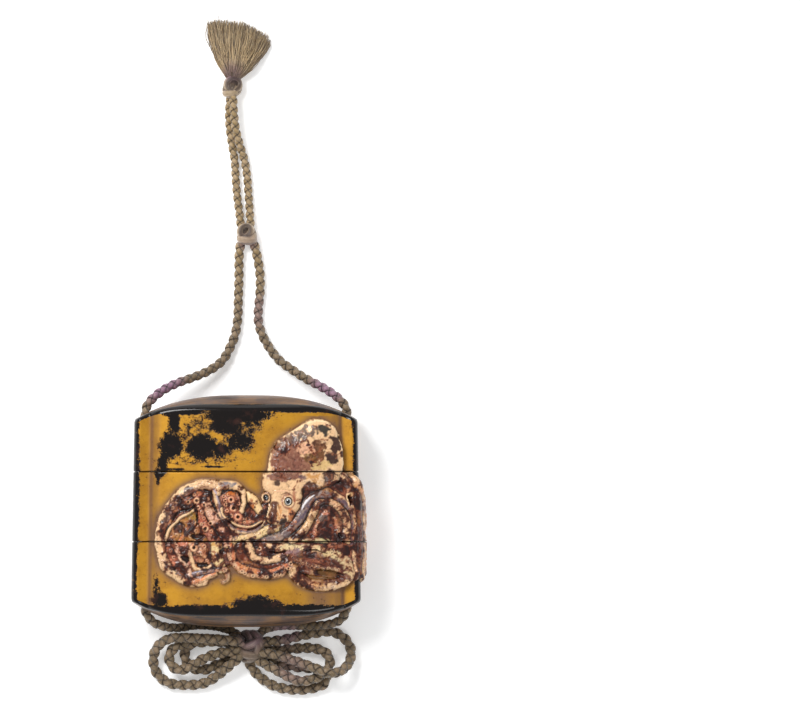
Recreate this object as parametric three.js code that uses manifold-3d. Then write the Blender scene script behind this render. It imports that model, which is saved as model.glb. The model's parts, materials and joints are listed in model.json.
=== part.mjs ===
// Three-section inro case with a raised octopus, its silk cord, knots, bow and tassel.
// Millimetres, +Z up.  The case lies on its back: X is its width, Y its height, and the
// cord runs off to +Y.  The origin is under the middle of the case, on the surface it lies on.
import * as THREE from 'three';
import { mergeVertices } from 'three/addons/utils/BufferGeometryUtils.js';
import Module from 'manifold-3d';

const wasm = await Module();
wasm.setup();

// ---------------------------------------------------------------- driving dimensions
const HALF_WIDTH = 34;          // middle of the case to its end wall, at mid height
const HALF_THICK = 12;          // mid plane to the middle of the front or back panel
const MID_Z = 12.7;             // mid plane above the surface: the case lies on its carving
const TAPER = 0.014;            // the case widens by this share from its middle to its foot
const TAPER_REACH = 27;         // where the taper reaches its full share
const CENTRE_X = -0.7;          // the carving stands out on the right, so the case sits left

const PANEL_X = 25.8;           // the panel's gentle curve ends here
const PANEL_DROP = 1.8;
const VALLEY_X = 29.1;          // sharp valley of the flute beside the panel
const VALLEY_DROP = 1.9;
const CREST_X = 32.1;           // crest between the flute and the end wall
const CREST_RISE = 0.6;
const CORNER_DEPTH = 2.5;       // rounded corner from the crest to the end wall

const SEAM_1 = 11.8;            // lid to middle case
const SEAM_2 = -9.2;            // middle case to bottom case
const GAP = 0.3;
const TOP = { crown: 34.8, crownDrop: 7.4, crownPower: 2.7, rim: 31.2, rimDrop: 3.9, rimPower: 5 };
const FOOT = { crown: 34.86, crownDrop: 7.8, crownPower: 3, rim: 30.45, rimDrop: 3.4, rimPower: 5 };
const EDGE = 1.0;               // chamfer where the domes meet the walls

const LID_WALL = 1.9;           // wall round the lid's hollow and the middle case's socket
const CASE_WALL = 3.2;          // wall with its riser round the two compartments
const RISER_INSET = 2.2;
const RISER_HEIGHT = 5.6;
const SOCKET_DEPTH = 6.2;       // socket under the middle case, for the riser below it
const FLOOR = 1.6;
const DOME_WALL = 2.2;
const HOLLOW_X = 26.0;          // half width of the lid's hollow; the others step in from it

const CHANNEL_X = 30.2;         // cord channels through both ends of all three sections
const CHANNEL_R = 1.8;
const MOUTH_R = 2.5;

const CORD_R = 1.35;            // cord through the case
const STRAND_R = 1.2;           // the same cord, pulled thinner between the upper knots
const LOOP_R = 1.5;             // and slack in the bow

const ROW_STEP = 2.9;           // facets over the carving
const ROW_LIMIT = 25.8;
const FRONT_STEP = 2.65;
const BACK_STEP = 3.4;
const PLAIN_STEP = 6.5;

// ---------------------------------------------------------------- materials
const paint = (color, roughness, metalness = 0) =>
  new THREE.MeshStandardMaterial({ color, roughness, metalness, flatShading: true });
const goldLacquer = paint(0xb98d35, 0.34, 0.55);
const silk = paint(0x7d6a5c, 0.8);
const knotSilk = paint(0x9a8672, 0.7);
const tasselSilk = paint(0xa89678, 0.85);
const eyeShell = paint(0xc6c6bc, 0.15);

// ---------------------------------------------------------------- solids and booleans
function toSolid(geometry) {
  const bare = geometry.clone();
  bare.deleteAttribute('normal');
  bare.deleteAttribute('uv');
  const merged = mergeVertices(bare, 1e-4);
  return new wasm.Manifold(new wasm.Mesh({
    numProp: 3,
    vertProperties: Float32Array.from(merged.attributes.position.array),
    triVerts: Uint32Array.from(merged.index.array),
  }));
}

function toGeometry(solid) {
  const mesh = solid.getMesh();
  const geometry = new THREE.BufferGeometry();
  geometry.setAttribute('position', new THREE.BufferAttribute(mesh.vertProperties, 3));
  geometry.setIndex(new THREE.BufferAttribute(mesh.triVerts, 1));
  return geometry;
}

// Triangles between the two long sides of a ring, so that a domed end keeps its curve.
function fillRing(ring) {
  const across = ring.map((p) => p.x);
  const right = across.indexOf(Math.max(...across));
  let ahead = across.indexOf(Math.min(...across));
  let behind = ahead;
  const faces = [];
  while (ahead !== right || behind !== right) {
    const nextAhead = (ahead + 1) % ring.length;
    const nextBehind = (behind - 1 + ring.length) % ring.length;
    const goAhead = behind === right || (ahead !== right && across[nextAhead] <= across[nextBehind]);
    const face = goAhead ? [ahead, nextAhead, behind] : [ahead, nextBehind, behind];
    if (new Set(face).size === 3) faces.push(face);
    if (goAhead) ahead = nextAhead;
    else behind = nextBehind;
  }
  return faces;
}

// A closed skin through rings of equal length, with filled ends.
function loft(rings) {
  const count = rings[0].length;
  const vertices = rings.flat();
  const faces = [];
  for (let r = 0; r + 1 < rings.length; r++) {
    for (let c = 0; c < count; c++) {
      const a = r * count + c;
      const b = r * count + (c + 1) % count;
      faces.push([a, b, b + count], [a, b + count, a + count]);
    }
  }
  for (const face of fillRing(rings[0])) faces.push(face.toReversed());
  for (const face of fillRing(rings.at(-1))) faces.push(face.map((i) => i + (rings.length - 1) * count));
  const volume = faces.reduce((sum, [a, b, c]) =>
    sum + vertices[a].dot(new THREE.Vector3().crossVectors(vertices[b], vertices[c])), 0);
  const geometry = new THREE.BufferGeometry().setFromPoints(vertices);
  geometry.setIndex((volume > 0 ? faces : faces.map((face) => face.toReversed())).flat());
  return geometry;
}

function block(yLow, yHigh, zLow = 0, zHigh = 60) {
  const box = new THREE.BoxGeometry(200, yHigh - yLow, zHigh - zLow);
  return toSolid(box.translate(0, (yLow + yHigh) / 2, (zLow + zHigh) / 2));
}

// ---------------------------------------------------------------- outline of the case
function frontZ(x) {
  if (x <= PANEL_X) return HALF_THICK - PANEL_DROP * (x / PANEL_X) ** 2;
  const panelEdge = HALF_THICK - PANEL_DROP;
  if (x <= VALLEY_X) {
    const t = (x - PANEL_X) / (VALLEY_X - PANEL_X);
    const lead = 2 * PANEL_DROP / PANEL_X * (VALLEY_X - PANEL_X);
    return panelEdge - lead * t - (VALLEY_DROP - lead) * t * t;
  }
  const t = (x - VALLEY_X) / (CREST_X - VALLEY_X);
  return panelEdge - VALLEY_DROP + CREST_RISE * t ** 1.7;
}

// One quarter of the outline, as fine points that carry their distance along it.
const quarter = [];
function addQuarterPoint(x, z) {
  const last = quarter.at(-1);
  const along = last ? last.along + Math.hypot(x - last.x, z - last.z) : 0;
  quarter.push({ x, z, along });
  return along;
}
for (let x = 0; x < PANEL_X; x += 0.3) addQuarterPoint(x, frontZ(x));
const ROLL_U = addQuarterPoint(PANEL_X, frontZ(PANEL_X));
for (let x = PANEL_X + 0.3; x < VALLEY_X; x += 0.3) addQuarterPoint(x, frontZ(x));
const VALLEY_U = addQuarterPoint(VALLEY_X, frontZ(VALLEY_X));
for (let x = VALLEY_X + 0.3; x < CREST_X; x += 0.3) addQuarterPoint(x, frontZ(x));
const CREST_U = addQuarterPoint(CREST_X, frontZ(CREST_X));
const crestZ = frontZ(CREST_X);
let cornerU = 0;
for (let turn = 10; turn <= 90; turn += 10) {
  const a = THREE.MathUtils.degToRad(turn);
  cornerU = addQuarterPoint(CREST_X + (HALF_WIDTH - CREST_X) * Math.sin(a),
    crestZ - CORNER_DEPTH * (1 - Math.cos(a)));
}
const QUARTER = addQuarterPoint(HALF_WIDTH, 0);

function alongQuarter(key, value) {
  const rising = quarter.at(-1)[key] > quarter[0][key];
  let i = 1;
  while (i < quarter.length - 1 && (rising ? quarter[i][key] < value : quarter[i][key] > value)) i++;
  const [a, b] = [quarter[i - 1], quarter[i]];
  const t = b[key] === a[key] ? 0 : (value - a[key]) / (b[key] - a[key]);
  return { x: a.x + t * (b.x - a.x), z: a.z + t * (b.z - a.z), along: a.along + t * (b.along - a.along) };
}

// u runs round the whole outline: 0 in front, QUARTER at the right end, 2 * QUARTER behind.
const front = (x) => Math.sign(x) * alongQuarter('x', Math.abs(x)).along;
const back = (x) => 2 * QUARTER - front(x);
function side(z) {
  const q = alongQuarter('z', Math.abs(z)).along;
  return z > 0 ? q : 2 * QUARTER - q;
}

function outlinePoint(u) {
  const fold = u <= QUARTER ? Math.abs(u) : Math.abs(2 * QUARTER - u);
  const p = alongQuarter('along', Math.min(fold, QUARTER));
  const sx = u < 0 || u > 2 * QUARTER ? -1 : 1;
  const sz = u > QUARTER ? -1 : 1;
  // The carving grows along the slope of a plain rounded outline, never into the flutes.
  const slopeX = 6 * p.x ** 5 / 34.5 ** 6;
  const slopeZ = 2.5 * p.z ** 1.5 / HALF_THICK ** 2.5;
  const size = Math.hypot(slopeX, slopeZ);
  const fluteFill = 1.3 * Math.exp(-(((p.x - VALLEY_X) / 1.7) ** 2));
  return { x: sx * p.x, z: sz * p.z, dx: sx * slopeX / size, dz: sz * slopeZ / size, fluteFill };
}

function stations(step) {
  const keys = [0, ROLL_U, VALLEY_U, CREST_U, cornerU, QUARTER];
  const list = [];
  for (let k = 0; k + 1 < keys.length; k++) {
    const pieces = Math.max(1, Math.round((keys[k + 1] - keys[k]) / step));
    for (let i = 0; i < pieces; i++) list.push(keys[k] + (keys[k + 1] - keys[k]) * i / pieces);
  }
  return list.concat(QUARTER);
}
const frontStations = stations(FRONT_STEP);
const columns = [
  ...frontStations.slice(1).reverse().map((q) => -q),
  ...frontStations,
  ...stations(BACK_STEP).slice(1, -1).reverse().map((q) => 2 * QUARTER - q),
  ...stations(PLAIN_STEP).slice(0, -1).map((q) => 2 * QUARTER + q),
];

// ---------------------------------------------------------------- domed ends
const widen = (y) => 1 - TAPER * THREE.MathUtils.clamp(y / TAPER_REACH, -1, 1);
function domeY(end, x, z) {
  const reach = Math.min(Math.abs(x) / HALF_WIDTH, 1);
  const crown = end.crown - end.crownDrop * reach ** end.crownPower;
  const rim = Math.min(crown, end.rim - end.rimDrop * reach ** end.rimPower);
  const half = HALF_THICK * (1 - Math.min(Math.abs(x) / 34.6, 0.995) ** 6) ** 0.4;
  return rim + (crown - rim) * Math.max(0, 1 - (z / half) ** 2);
}

// ---------------------------------------------------------------- the octopus
// Heights of the carving over the plain case, by place on the unrolled outline.
const forms = [];
const smooth = (points, closed, count) => {
  const flat = points.map(([u, y]) => new THREE.Vector3(u, y, 0));
  return new THREE.CatmullRomCurve3(flat, closed, 'centripetal').getPoints(count);
};
const onFront = (points) => points.map(([x, y]) => [front(x), y]);
const onSide = (points) => points.map(([z, y]) => [side(z), y]);
const onBack = (points) => points.map(([x, y]) => [back(x), y]);

// An arm has a round back, and thins from one width and height to the other.
function arm(points, [r0, r1], [h0, h1]) {
  const path = smooth(points, false, points.length * 4);
  forms.push((u, y) => {
    let best = 0;
    for (let i = 0; i + 1 < path.length; i++) {
      const [a, b] = [path[i], path[i + 1]];
      const ex = b.x - a.x;
      const ey = b.y - a.y;
      const t = THREE.MathUtils.clamp(((u - a.x) * ex + (y - a.y) * ey) / (ex * ex + ey * ey), 0, 1);
      const f = (i + t) / (path.length - 1);
      const away = Math.hypot(u - a.x - t * ex, y - a.y - t * ey) / (r0 + (r1 - r0) * f);
      if (away < 1) best = Math.max(best, (h0 + (h1 - h0) * f) * Math.sqrt(1 - away * away));
    }
    return best;
  });
}

// A mass has a flat or domed top that rounds off to its outline over its shoulder.
function mass(points, height, shoulder) {
  const edge = smooth(points, true, points.length * 4);
  forms.push((u, y) => {
    let inside = false;
    let near = Infinity;
    for (let i = 0; i + 1 < edge.length; i++) {
      const [a, b] = [edge[i], edge[i + 1]];
      if ((a.y > y) !== (b.y > y) && u < a.x + (y - a.y) / (b.y - a.y) * (b.x - a.x)) inside = !inside;
      const ex = b.x - a.x;
      const ey = b.y - a.y;
      const t = THREE.MathUtils.clamp(((u - a.x) * ex + (y - a.y) * ey) / (ex * ex + ey * ey), 0, 1);
      near = Math.min(near, Math.hypot(u - a.x - t * ex, y - a.y - t * ey));
    }
    if (!inside) return 0;
    const rise = Math.min(near / shoulder, 1);
    return height * Math.sqrt(rise * (2 - rise));
  });
}

// Body of the carving under the arms, from the coils on the left round the right end.
mass([
  ...onFront([[-26.7, -9], [-26.6, -4.5], [-25.2, -0.6], [-22.8, 3.4], [-20.4, 7], [-14, 9],
    [-7, 9.3], [-2.6, 8.8], [0.8, 5.8], [4.2, 3.2], [6, 5], [9, 6], [27, 8.5], [30.5, 10.8], [32.8, 7.2]]),
  ...onSide([[5, 4.4], [0, 5], [-5, 4]]),
  ...onBack([[31.5, 3.6], [31.5, -17]]),
  ...onSide([[-5, -19.5], [0, -20.4], [6, -21]]),
  ...onFront([[31.5, -20], [26, -20], [14.6, -19.2], [9, -18.2], [2, -18.4], [-4.6, -16.6], [-6.6, -18],
    [-12, -20.6], [-17, -22.2], [-22.6, -19.6], [-25.8, -16]]),
], 0.9, 1.4);
// Mantle, and the tapering face under it.
mass(onFront([[5.6, 11], [7.4, 18], [9.6, 21.8], [14.6, 24.8], [19.8, 27.4], [25.4, 25.4], [28.2, 20],
  [28.6, 14], [27.8, 8.6], [24, 5.6], [18, 5], [12, 5.2], [6.4, 5.4], [5.1, 8]]), 2.6, 6.5);
mass(onFront([[6.3, 7], [6.4, 2.6], [8.4, -0.8], [10.6, -3.2], [12.6, -3.8], [15, -0.6], [16.9, 4], [17, 8]]),
  2.1, 2.6);
// Coils on the left.
arm(onFront([[-9.6, 7.4], [-14, 7.6], [-18.4, 6], [-21.4, 2.6], [-24, -1.8], [-25.2, -7], [-24.8, -13],
  [-21, -18.2], [-15.6, -21], [-11.4, -19.4], [-8.6, -18.4]]), [2.1, 1.7], [2.0, 1.5]);
arm(onFront([[-14.8, 1.4], [-18.6, -1], [-21.4, -4], [-22.6, -8], [-20.6, -13], [-16.6, -16.8]]),
  [2.0, 1.6], [1.7, 1.5]);
arm(onFront([[-8.8, 5], [-7.4, 8], [-4.4, 8], [-2.2, 5.2], [-2.4, 1], [-3.4, -3]]), [2.3, 1.9], [2.0, 1.6]);
arm(onFront([[1, 4.4], [3.2, 2], [3.8, -0.4]]), [2.3, 1.6], [1.9, 1.6]);
arm(onFront([[-12.6, 1], [-11, -3.6], [-10.4, -9], [-8.4, -14], [-6.6, -18.4], [-7.2, -20.2]]),
  [2.6, 1.8], [1.7, 1.5]);
arm(onFront([[-7.4, -1.4], [-3.4, -4.6], [1.2, -5.2], [5.2, -2.6]]), [1.7, 1.3], [1.7, 1.5]);
// Arms round the web below the face.
arm(onFront([[25.5, 5.2], [20.4, 3.6], [16.8, 0.6], [14.4, -3], [9.6, -6.4], [3, -9.2]]), [2.1, 1.8], [2.0, 1.7]);
arm(onFront([[18.6, -7.8], [19.6, -1.4], [22.6, 2.6], [26, 2.2], [28, -1], [28.4, -7]]), [1.7, 1.5], [1.9, 1.6]);
arm(onFront([[25.6, 5.4], [29, 1.6], [30.3, -4], [30.2, -10]]), [1.6, 1.4], [1.7, 1.5]);
arm(onFront([[-4.4, -9.8], [-4.2, -14.4], [-0.6, -17.6], [4.4, -18.8], [9.6, -18.2], [13.4, -15.6]]),
  [2.0, 1.9], [1.8, 1.6]);
arm(onFront([[1.4, -9.8], [2.2, -13.2], [6, -14.4], [10.4, -12.2], [15, -11.2], [22, -11.4], [28, -14], [30.6, -18.4]]),
  [1.8, 1.9], [1.9, 1.7]);
arm(onFront([[14.6, -19.6], [17.6, -22], [22.8, -22.8], [27.6, -21.6], [29.8, -19.4]]), [1.7, 1.5], [1.7, 1.4]);
// Arms that run down over the flute and round the right end.
arm(onFront([[29.4, 10], [29.8, 4], [30.8, -4], [31.2, -12], [31.8, -19.6]]), [1.5, 1.6], [1.6, 1.5]);
arm([...onFront([[32, 8.8]]), ...onSide([[6.4, 5], [5.4, 0], [5.6, -8], [6.2, -15], [6.4, -19.6]])],
  [1.7, 1.7], [1.8, 1.5]);
arm([...onSide([[2.4, 4], [1, -2], [0.6, -9], [2, -18]])], [2.0, 1.9], [1.9, 1.7]);
// Two tentacles and a strap across the back.
arm([...onSide([[-4, -1]]), ...onBack([[31, -3.6], [27.3, -3.9], [22.8, -2.1], [18.3, -1.8], [13.5, -3],
  [9.3, -3.4], [5.1, -2.5], [2.7, -2.4]])], [2.5, 1.6], [1.6, 1.1]);
arm([...onSide([[-3, -5]]), ...onBack([[29, -6.4], [24.9, -6.5], [21, -8.6], [17.7, -10.8], [14, -13.2],
  [10.2, -15.6], [6.7, -16.7], [3.4, -15.7], [-0.3, -13.8], [-4.2, -12.3], [-7.5, -12.3]])],
  [2.5, 1.6], [1.6, 1.1]);
arm([...onSide([[-5, 1.6]]), ...onBack([[31, -9], [29.5, -15.6]])], [2.6, 1.6], [1.5, 1.3]);

const carving = (u, y) => forms.reduce((high, form) => Math.max(high, form(u, y)), 0);

// ---------------------------------------------------------------- the solid case
function casePoint(u, y, height) {
  const p = outlinePoint(u);
  const lift = height + p.fluteFill * Math.min(height / 0.8, 1);
  return new THREE.Vector3(p.x * widen(y) + p.dx * lift, y, MID_Z + p.z + p.dz * lift);
}

function domeRing(end, sign, share) {
  return columns.map((u) => {
    const p = outlinePoint(u);
    const roundEnd = Math.abs(p.x) > CREST_X ? 0.9 * (1 - (p.z / crestZ) ** 2) : 0;
    const x = p.x * (1 - 0.1 * (1 - share)) + Math.sign(p.x) * roundEnd * (1 - share);
    const z = p.z * share;
    const y = sign * domeY(end, x, z);
    return new THREE.Vector3(x * widen(y), y, MID_Z + z);
  });
}

function edgeRing(end, sign) {
  return columns.map((u) => {
    const p = outlinePoint(u);
    return casePoint(u, sign * (domeY(end, p.x, p.z) - EDGE), 0);
  });
}

const DOME_SHARES = [0.3, 0.62, 0.92];
const rows = [];
for (let y = -ROW_LIMIT; y < ROW_LIMIT + 0.01; y += 2 * ROW_LIMIT / Math.round(2 * ROW_LIMIT / ROW_STEP)) {
  rows.push(columns.map((u) => casePoint(u, y, carving(u, y))));
}
const wholeCase = toSolid(loft([
  ...DOME_SHARES.map((share) => domeRing(FOOT, -1, share)),
  edgeRing(FOOT, -1),
  ...rows,
  edgeRing(TOP, 1),
  ...DOME_SHARES.toReversed().map((share) => domeRing(TOP, 1, share)),
])).intersect(block(-60, 60, 0, 60));     // the carving behind is worn flat where it rests

// ---------------------------------------------------------------- hollows, sockets, risers
// A lens-shaped outline set in from the case's own, with round ends.
function lens(halfX, inset, placeY, steps = 16) {
  const ring = [];
  for (let i = 0; i < steps * 2; i++) {
    const turn = Math.PI * (i + 0.5) / steps;
    const x = halfX * Math.cos(turn);
    const half = (frontZ(Math.min(Math.abs(x), PANEL_X)) - inset) * (1 - Math.abs(x / halfX) ** 8) ** 0.25;
    const z = Math.sign(Math.sin(turn)) * half;
    ring.push(new THREE.Vector3(x, placeY(x, z), MID_Z + z));
  }
  return ring;
}
function domedLens(halfX, inset, end, sign) {
  return [1, 0.6, 0.25].map((share) => lens(halfX, inset, () => 0).map((p) => {
    const z = (p.z - MID_Z) * share;
    const x = p.x * (0.75 + 0.25 * share);
    return new THREE.Vector3(x, sign * (domeY(end, x, z) - DOME_WALL), MID_Z + z);
  }));
}
const level = (y) => () => y;
const prism = (halfX, inset, yLow, yHigh) =>
  toSolid(loft([lens(halfX, inset, level(yLow)), lens(halfX, inset, level(yHigh))]));

const stepIn = HOLLOW_X - (CASE_WALL - LID_WALL);
const lidHollow = toSolid(loft([
  lens(HOLLOW_X, LID_WALL, level(SEAM_1 - 2)), ...domedLens(HOLLOW_X, LID_WALL, TOP, 1)]));
const socketTop = SEAM_2 + SOCKET_DEPTH;
const socket = prism(HOLLOW_X, LID_WALL, SEAM_2 - 2, socketTop);
const middleHollow = prism(stepIn, CASE_WALL, socketTop + FLOOR, SEAM_1 + RISER_HEIGHT + 2);
const bottomHollow = toSolid(loft([
  ...domedLens(stepIn, CASE_WALL, FOOT, -1).reverse(),
  lens(stepIn, CASE_WALL, level(SEAM_2 + RISER_HEIGHT + 2))]));
const riser = (seam) => prism(HOLLOW_X - GAP, RISER_INSET, seam - 2, seam - GAP / 2 + RISER_HEIGHT);

function channels() {
  let cut = null;
  for (const x of [-CHANNEL_X, CHANNEL_X]) {
    const bore = toSolid(new THREE.CylinderGeometry(CHANNEL_R, CHANNEL_R, 90, 10).translate(x, 0, MID_Z));
    cut = cut ? cut.add(bore) : bore;
    for (const y of [domeY(TOP, x, 0), -domeY(FOOT, x, 0)]) {
      cut = cut.add(toSolid(new THREE.SphereGeometry(MOUTH_R, 10, 6).translate(x, y, MID_Z)));
    }
  }
  return cut;
}
const cordChannels = channels();

// ---------------------------------------------------------------- eyes, set in sockets
const EYES = {
  eye_near: { x: 12.75, y: 2.85, z: 25.9, r: [1.15, 1.3, 0.9] },
  eye_far: { x: 6.05, y: 4.1, z: 25.2, r: [0.85, 1.0, 0.75] },
};
function ellipsoid({ x, y, z, r }, grow = 0, around = 12, down = 7) {
  return toSolid(new THREE.SphereGeometry(1, around, down)
    .scale(r[0] + grow, r[1] + grow, r[2] + grow).translate(x, y, z));
}
const eyeSockets = Object.values(EYES).map((eye) => ellipsoid(eye, GAP));

const lid = wholeCase.intersect(block(SEAM_1 + GAP / 2, 60)).subtract(lidHollow).subtract(cordChannels);
let middleCase = wholeCase.intersect(block(SEAM_2 + GAP / 2, SEAM_1 - GAP / 2))
  .add(riser(SEAM_1)).subtract(middleHollow).subtract(socket).subtract(cordChannels);
for (const eyeSocket of eyeSockets) middleCase = middleCase.subtract(eyeSocket);
const bottomCase = wholeCase.intersect(block(-60, SEAM_2 - GAP / 2))
  .add(riser(SEAM_2)).subtract(bottomHollow).subtract(cordChannels);

// ---------------------------------------------------------------- cord, knots and tassel
const KNOTS = {
  knot_joining: { x: 0.3, y: 83, z: 3.1, r: [3.1, 3.4, 3.0] },
  knot_tassel: { x: -4.1, y: 127.3, z: 2.9, r: [2.9, 3.4, 2.8] },
  bow_knot: { x: 1.3, y: -40.6, z: 4.0, r: [4.3, 5.1, 3.9] },
};

function tube(points, radius, step) {
  const path = new THREE.CatmullRomCurve3(points.map((p) => new THREE.Vector3(...p)), false, 'centripetal');
  const corners = Array.from({ length: 8 }, (_, i) => {
    const a = (i + 0.5) * Math.PI / 4;
    return new THREE.Vector2(radius * Math.cos(a), radius * Math.sin(a));
  });
  const steps = Math.round(path.getLength() / step);
  return toSolid(new THREE.ExtrudeGeometry(new THREE.Shape(corners), {
    steps, bevelEnabled: false, extrudePath: path,
  }));
}

// Cords press on each other and end at their knots: each is cut back to leave room
// for the knots and for the cords laid before it.
const rooms = Object.values(KNOTS).map((knot) => ellipsoid(knot, GAP));
function layCords(routes, radius, step) {
  return Object.entries(routes).map(([name, route]) => {
    const cord = rooms.reduce((solid, room) => solid.subtract(room), tube(route, radius, step));
    rooms.push(tube(route, radius + GAP, step));
    return [name, cord];
  });
}

// From the joining knot down to the case, through its channel, round to the bow.
const CORDS = {
  cord_left: [[-1.3, 82, 2.6], [-2, 77.4, 1.8], [-2.1, 70.2, 1.45], [-2.3, 63, 1.4], [-2.5, 57.5, 1.4],
    [-3.3, 52.8, 1.5], [-4.7, 49.2, 1.8], [-7, 45.2, 2.7], [-10.6, 42.4, 4.2], [-15, 40.4, 6.3],
    [-19.8, 38.7, 8.6], [-23.8, 36.9, 10.6], [-27.2, 34.5, 12.2], [-29.6, 31.8, 12.7], [-30.2, 28.6, 12.7],
    [-30.2, 14, 12.7], [-30.2, 0, 12.7], [-30.2, -14, 12.7], [-30.3, -27, 12.7], [-30, -30.4, 12.4],
    [-28, -33.2, 10.9], [-24.4, -34.7, 8.4], [-20, -35, 5.4], [-15, -34.3, 2.8], [-9.4, -34.6, 1.6],
    [-4.6, -35.9, 2.2], [-0.9, -38.2, 3.4]],
  cord_right: [[1.9, 82, 2.6], [3.2, 77.2, 1.8], [4.2, 71, 1.45], [4.2, 65.5, 1.4], [3.7, 60, 1.4],
    [3.8, 56.4, 1.4], [4.9, 52.8, 1.5], [7, 49, 1.9], [10, 45.2, 3.1], [13.8, 42.4, 4.9], [17.6, 39.9, 7],
    [21.8, 37.7, 9.3], [25.4, 35.6, 11.3], [28.4, 33.2, 12.5], [30, 30.8, 12.7], [30.2, 27.6, 12.7],
    [30.2, 14, 12.7], [30.2, 0, 12.7], [30.2, -14, 12.7], [30.3, -27, 12.7], [30, -30.2, 12.4],
    [28.2, -32.7, 11], [24.8, -34, 8.6], [20.2, -34.4, 5.6], [14.8, -34.4, 3], [9.2, -34.6, 1.7],
    [5.2, -35.8, 2.2], [3, -38, 3.4]],
};
const STRANDS = {
  strand_left: [[-1.4, 84, 2.4], [-1.9, 88.6, 1.5], [-2.7, 95, 1.25], [-3.1, 100, 1.25], [-3.4, 105, 1.25],
    [-4.3, 110.6, 1.25], [-5, 116, 1.25], [-5, 121.5, 1.5], [-4.4, 125.5, 2.4]],
  strand_right: [[1.5, 84, 2.6], [1.2, 88.8, 1.7], [0.8, 94.5, 1.25], [0.4, 100, 1.3], [-0.4, 105, 1.6],
    [-1.8, 109.8, 2.7], [-3, 114.4, 4], [-3.6, 119.4, 4.4], [-3.9, 125.5, 4]],
};
const LOOPS = {
  bow_loop_left_1: [[-0.8, -42.8, 4.8], [-3.4, -45, 5.2], [-7.6, -48.6, 3.4], [-12.4, -51.6, 1.8],
    [-18.2, -52.2, 1.6], [-23.6, -51.4, 1.7], [-27, -48.2, 2.2], [-27.8, -44.4, 3.2], [-26.6, -40.8, 5],
    [-23.2, -38.4, 7], [-18.6, -38, 8.4], [-13.6, -38.2, 8.6], [-8.6, -38.4, 8.4], [-4, -39, 7.4],
    [-0.8, -39.4, 6.2]],
  bow_loop_left_2: [[-1.2, -41.6, 5.4], [-4, -42, 5.4], [-8.6, -42.8, 5.2], [-13.2, -44.6, 5.2],
    [-17.2, -47, 5], [-20.6, -47.6, 4.6], [-22.8, -45.4, 4.4], [-22.8, -42.6, 4.5], [-20.4, -40.4, 4.9],
    [-16, -39.6, 5.2], [-11, -39.2, 5.3], [-6, -38.7, 5.2], [-1.4, -38.2, 4.6]],
  bow_loop_left_3: [[-0.6, -43.2, 2.8], [-3.8, -43.9, 1.7], [-8.4, -46, 1.6], [-12.6, -47.6, 1.6],
    [-16.6, -46.8, 1.6], [-18.4, -43.8, 1.6], [-17.4, -40.6, 1.6], [-14.2, -39, 1.6], [-9.6, -38.9, 1.6],
    [-5, -39.8, 1.7], [-1.2, -39.9, 2.8]],
  bow_loop_right_1: [[3.2, -39.4, 4.4], [6.4, -39.2, 4.6], [11.4, -38.6, 3.2], [16.4, -37.4, 1.9], [20.8, -36.6, 1.7],
    [25.6, -36.2, 1.7], [29.3, -38, 1.8], [31.3, -41, 2.3], [31.2, -44.8, 4], [28.8, -47.8, 6.6],
    [25.2, -48.6, 8.6], [20.8, -47.2, 8], [16.6, -45.6, 6.6], [12.6, -44.3, 5.8], [8, -43, 6.1],
    [3.8, -42.4, 5.8]],
  bow_loop_right_2: [[3.2, -41, 2.6], [6.4, -41.5, 1.8], [11, -41.6, 1.6], [15.8, -41.2, 2], [20.4, -41.2, 3.2],
    [24, -42.6, 4.4], [25.2, -45.6, 5], [23.4, -48.6, 5.1], [20, -50.4, 5], [16, -51, 4.9],
    [12.4, -49.6, 4.9], [8.8, -47.6, 5], [5.4, -45.8, 5], [2.6, -44, 4.4]],
  bow_loop_right_3: [[0.8, -43, 2.6], [1.4, -46.4, 1.6], [4, -49.6, 1.6], [7.8, -52.2, 1.6], [13, -53.5, 1.6],
    [18.6, -53.4, 1.6], [23.4, -51.8, 1.6], [24, -49, 1.6], [20.6, -47.4, 1.6], [15.4, -46.8, 1.6],
    [10, -45.8, 1.6], [6.2, -44.2, 1.7], [4, -42.6, 2.4]],
};

// Tassel: a fan of loose silk from its knot, flat on the surface.
function tasselRing([y, x, halfX, thick]) {
  return Array.from({ length: 16 }, (_, i) => {
    const a = -2 * Math.PI * i / 16;
    return new THREE.Vector3(x + halfX * Math.cos(a), y - 0.02 * (x + halfX * Math.cos(a)) ** 2 * (halfX > 5),
      thick / 2 * (1 + Math.sin(a)));
  });
}
const TASSEL = [[129.6, -4, 1.9, 4], [132, -3.8, 2.7, 5], [136, -3.2, 4.9, 5.2], [141, -2.7, 7.2, 4.6],
  [145.6, -2.4, 8.9, 3.6], [148.4, -2.2, 9.2, 2.2]];
const tassel = toSolid(loft(TASSEL.map(tasselRing))).subtract(ellipsoid(KNOTS.knot_tassel, GAP));

const cords = layCords(CORDS, CORD_R, 6.4);
const [roomLeft, roomRight] = rooms.slice(-2);
const strands = layCords(STRANDS, STRAND_R, 5.5);
const loops = layCords(LOOPS, LOOP_R, 5);

// ---------------------------------------------------------------- the object
const inro = new THREE.Group();
inro.position.x = CENTRE_X;
function place(name, solid, material) {
  const mesh = new THREE.Mesh(toGeometry(solid), material);
  mesh.name = name;
  inro.add(mesh);
}
for (const [name, section] of Object.entries({ lid, middle_case: middleCase, bottom_case: bottomCase })) {
  place(name, section.subtract(roomLeft).subtract(roomRight), goldLacquer);
}
for (const [name, eye] of Object.entries(EYES)) place(name, ellipsoid(eye, 0, 10, 6), eyeShell);
for (const [name, solid] of [...cords, ...strands, ...loops]) place(name, solid, silk);
for (const [name, knot] of Object.entries(KNOTS)) place(name, ellipsoid(knot), knotSilk);
place('tassel', tassel, tasselSilk);

export default inro;
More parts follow.
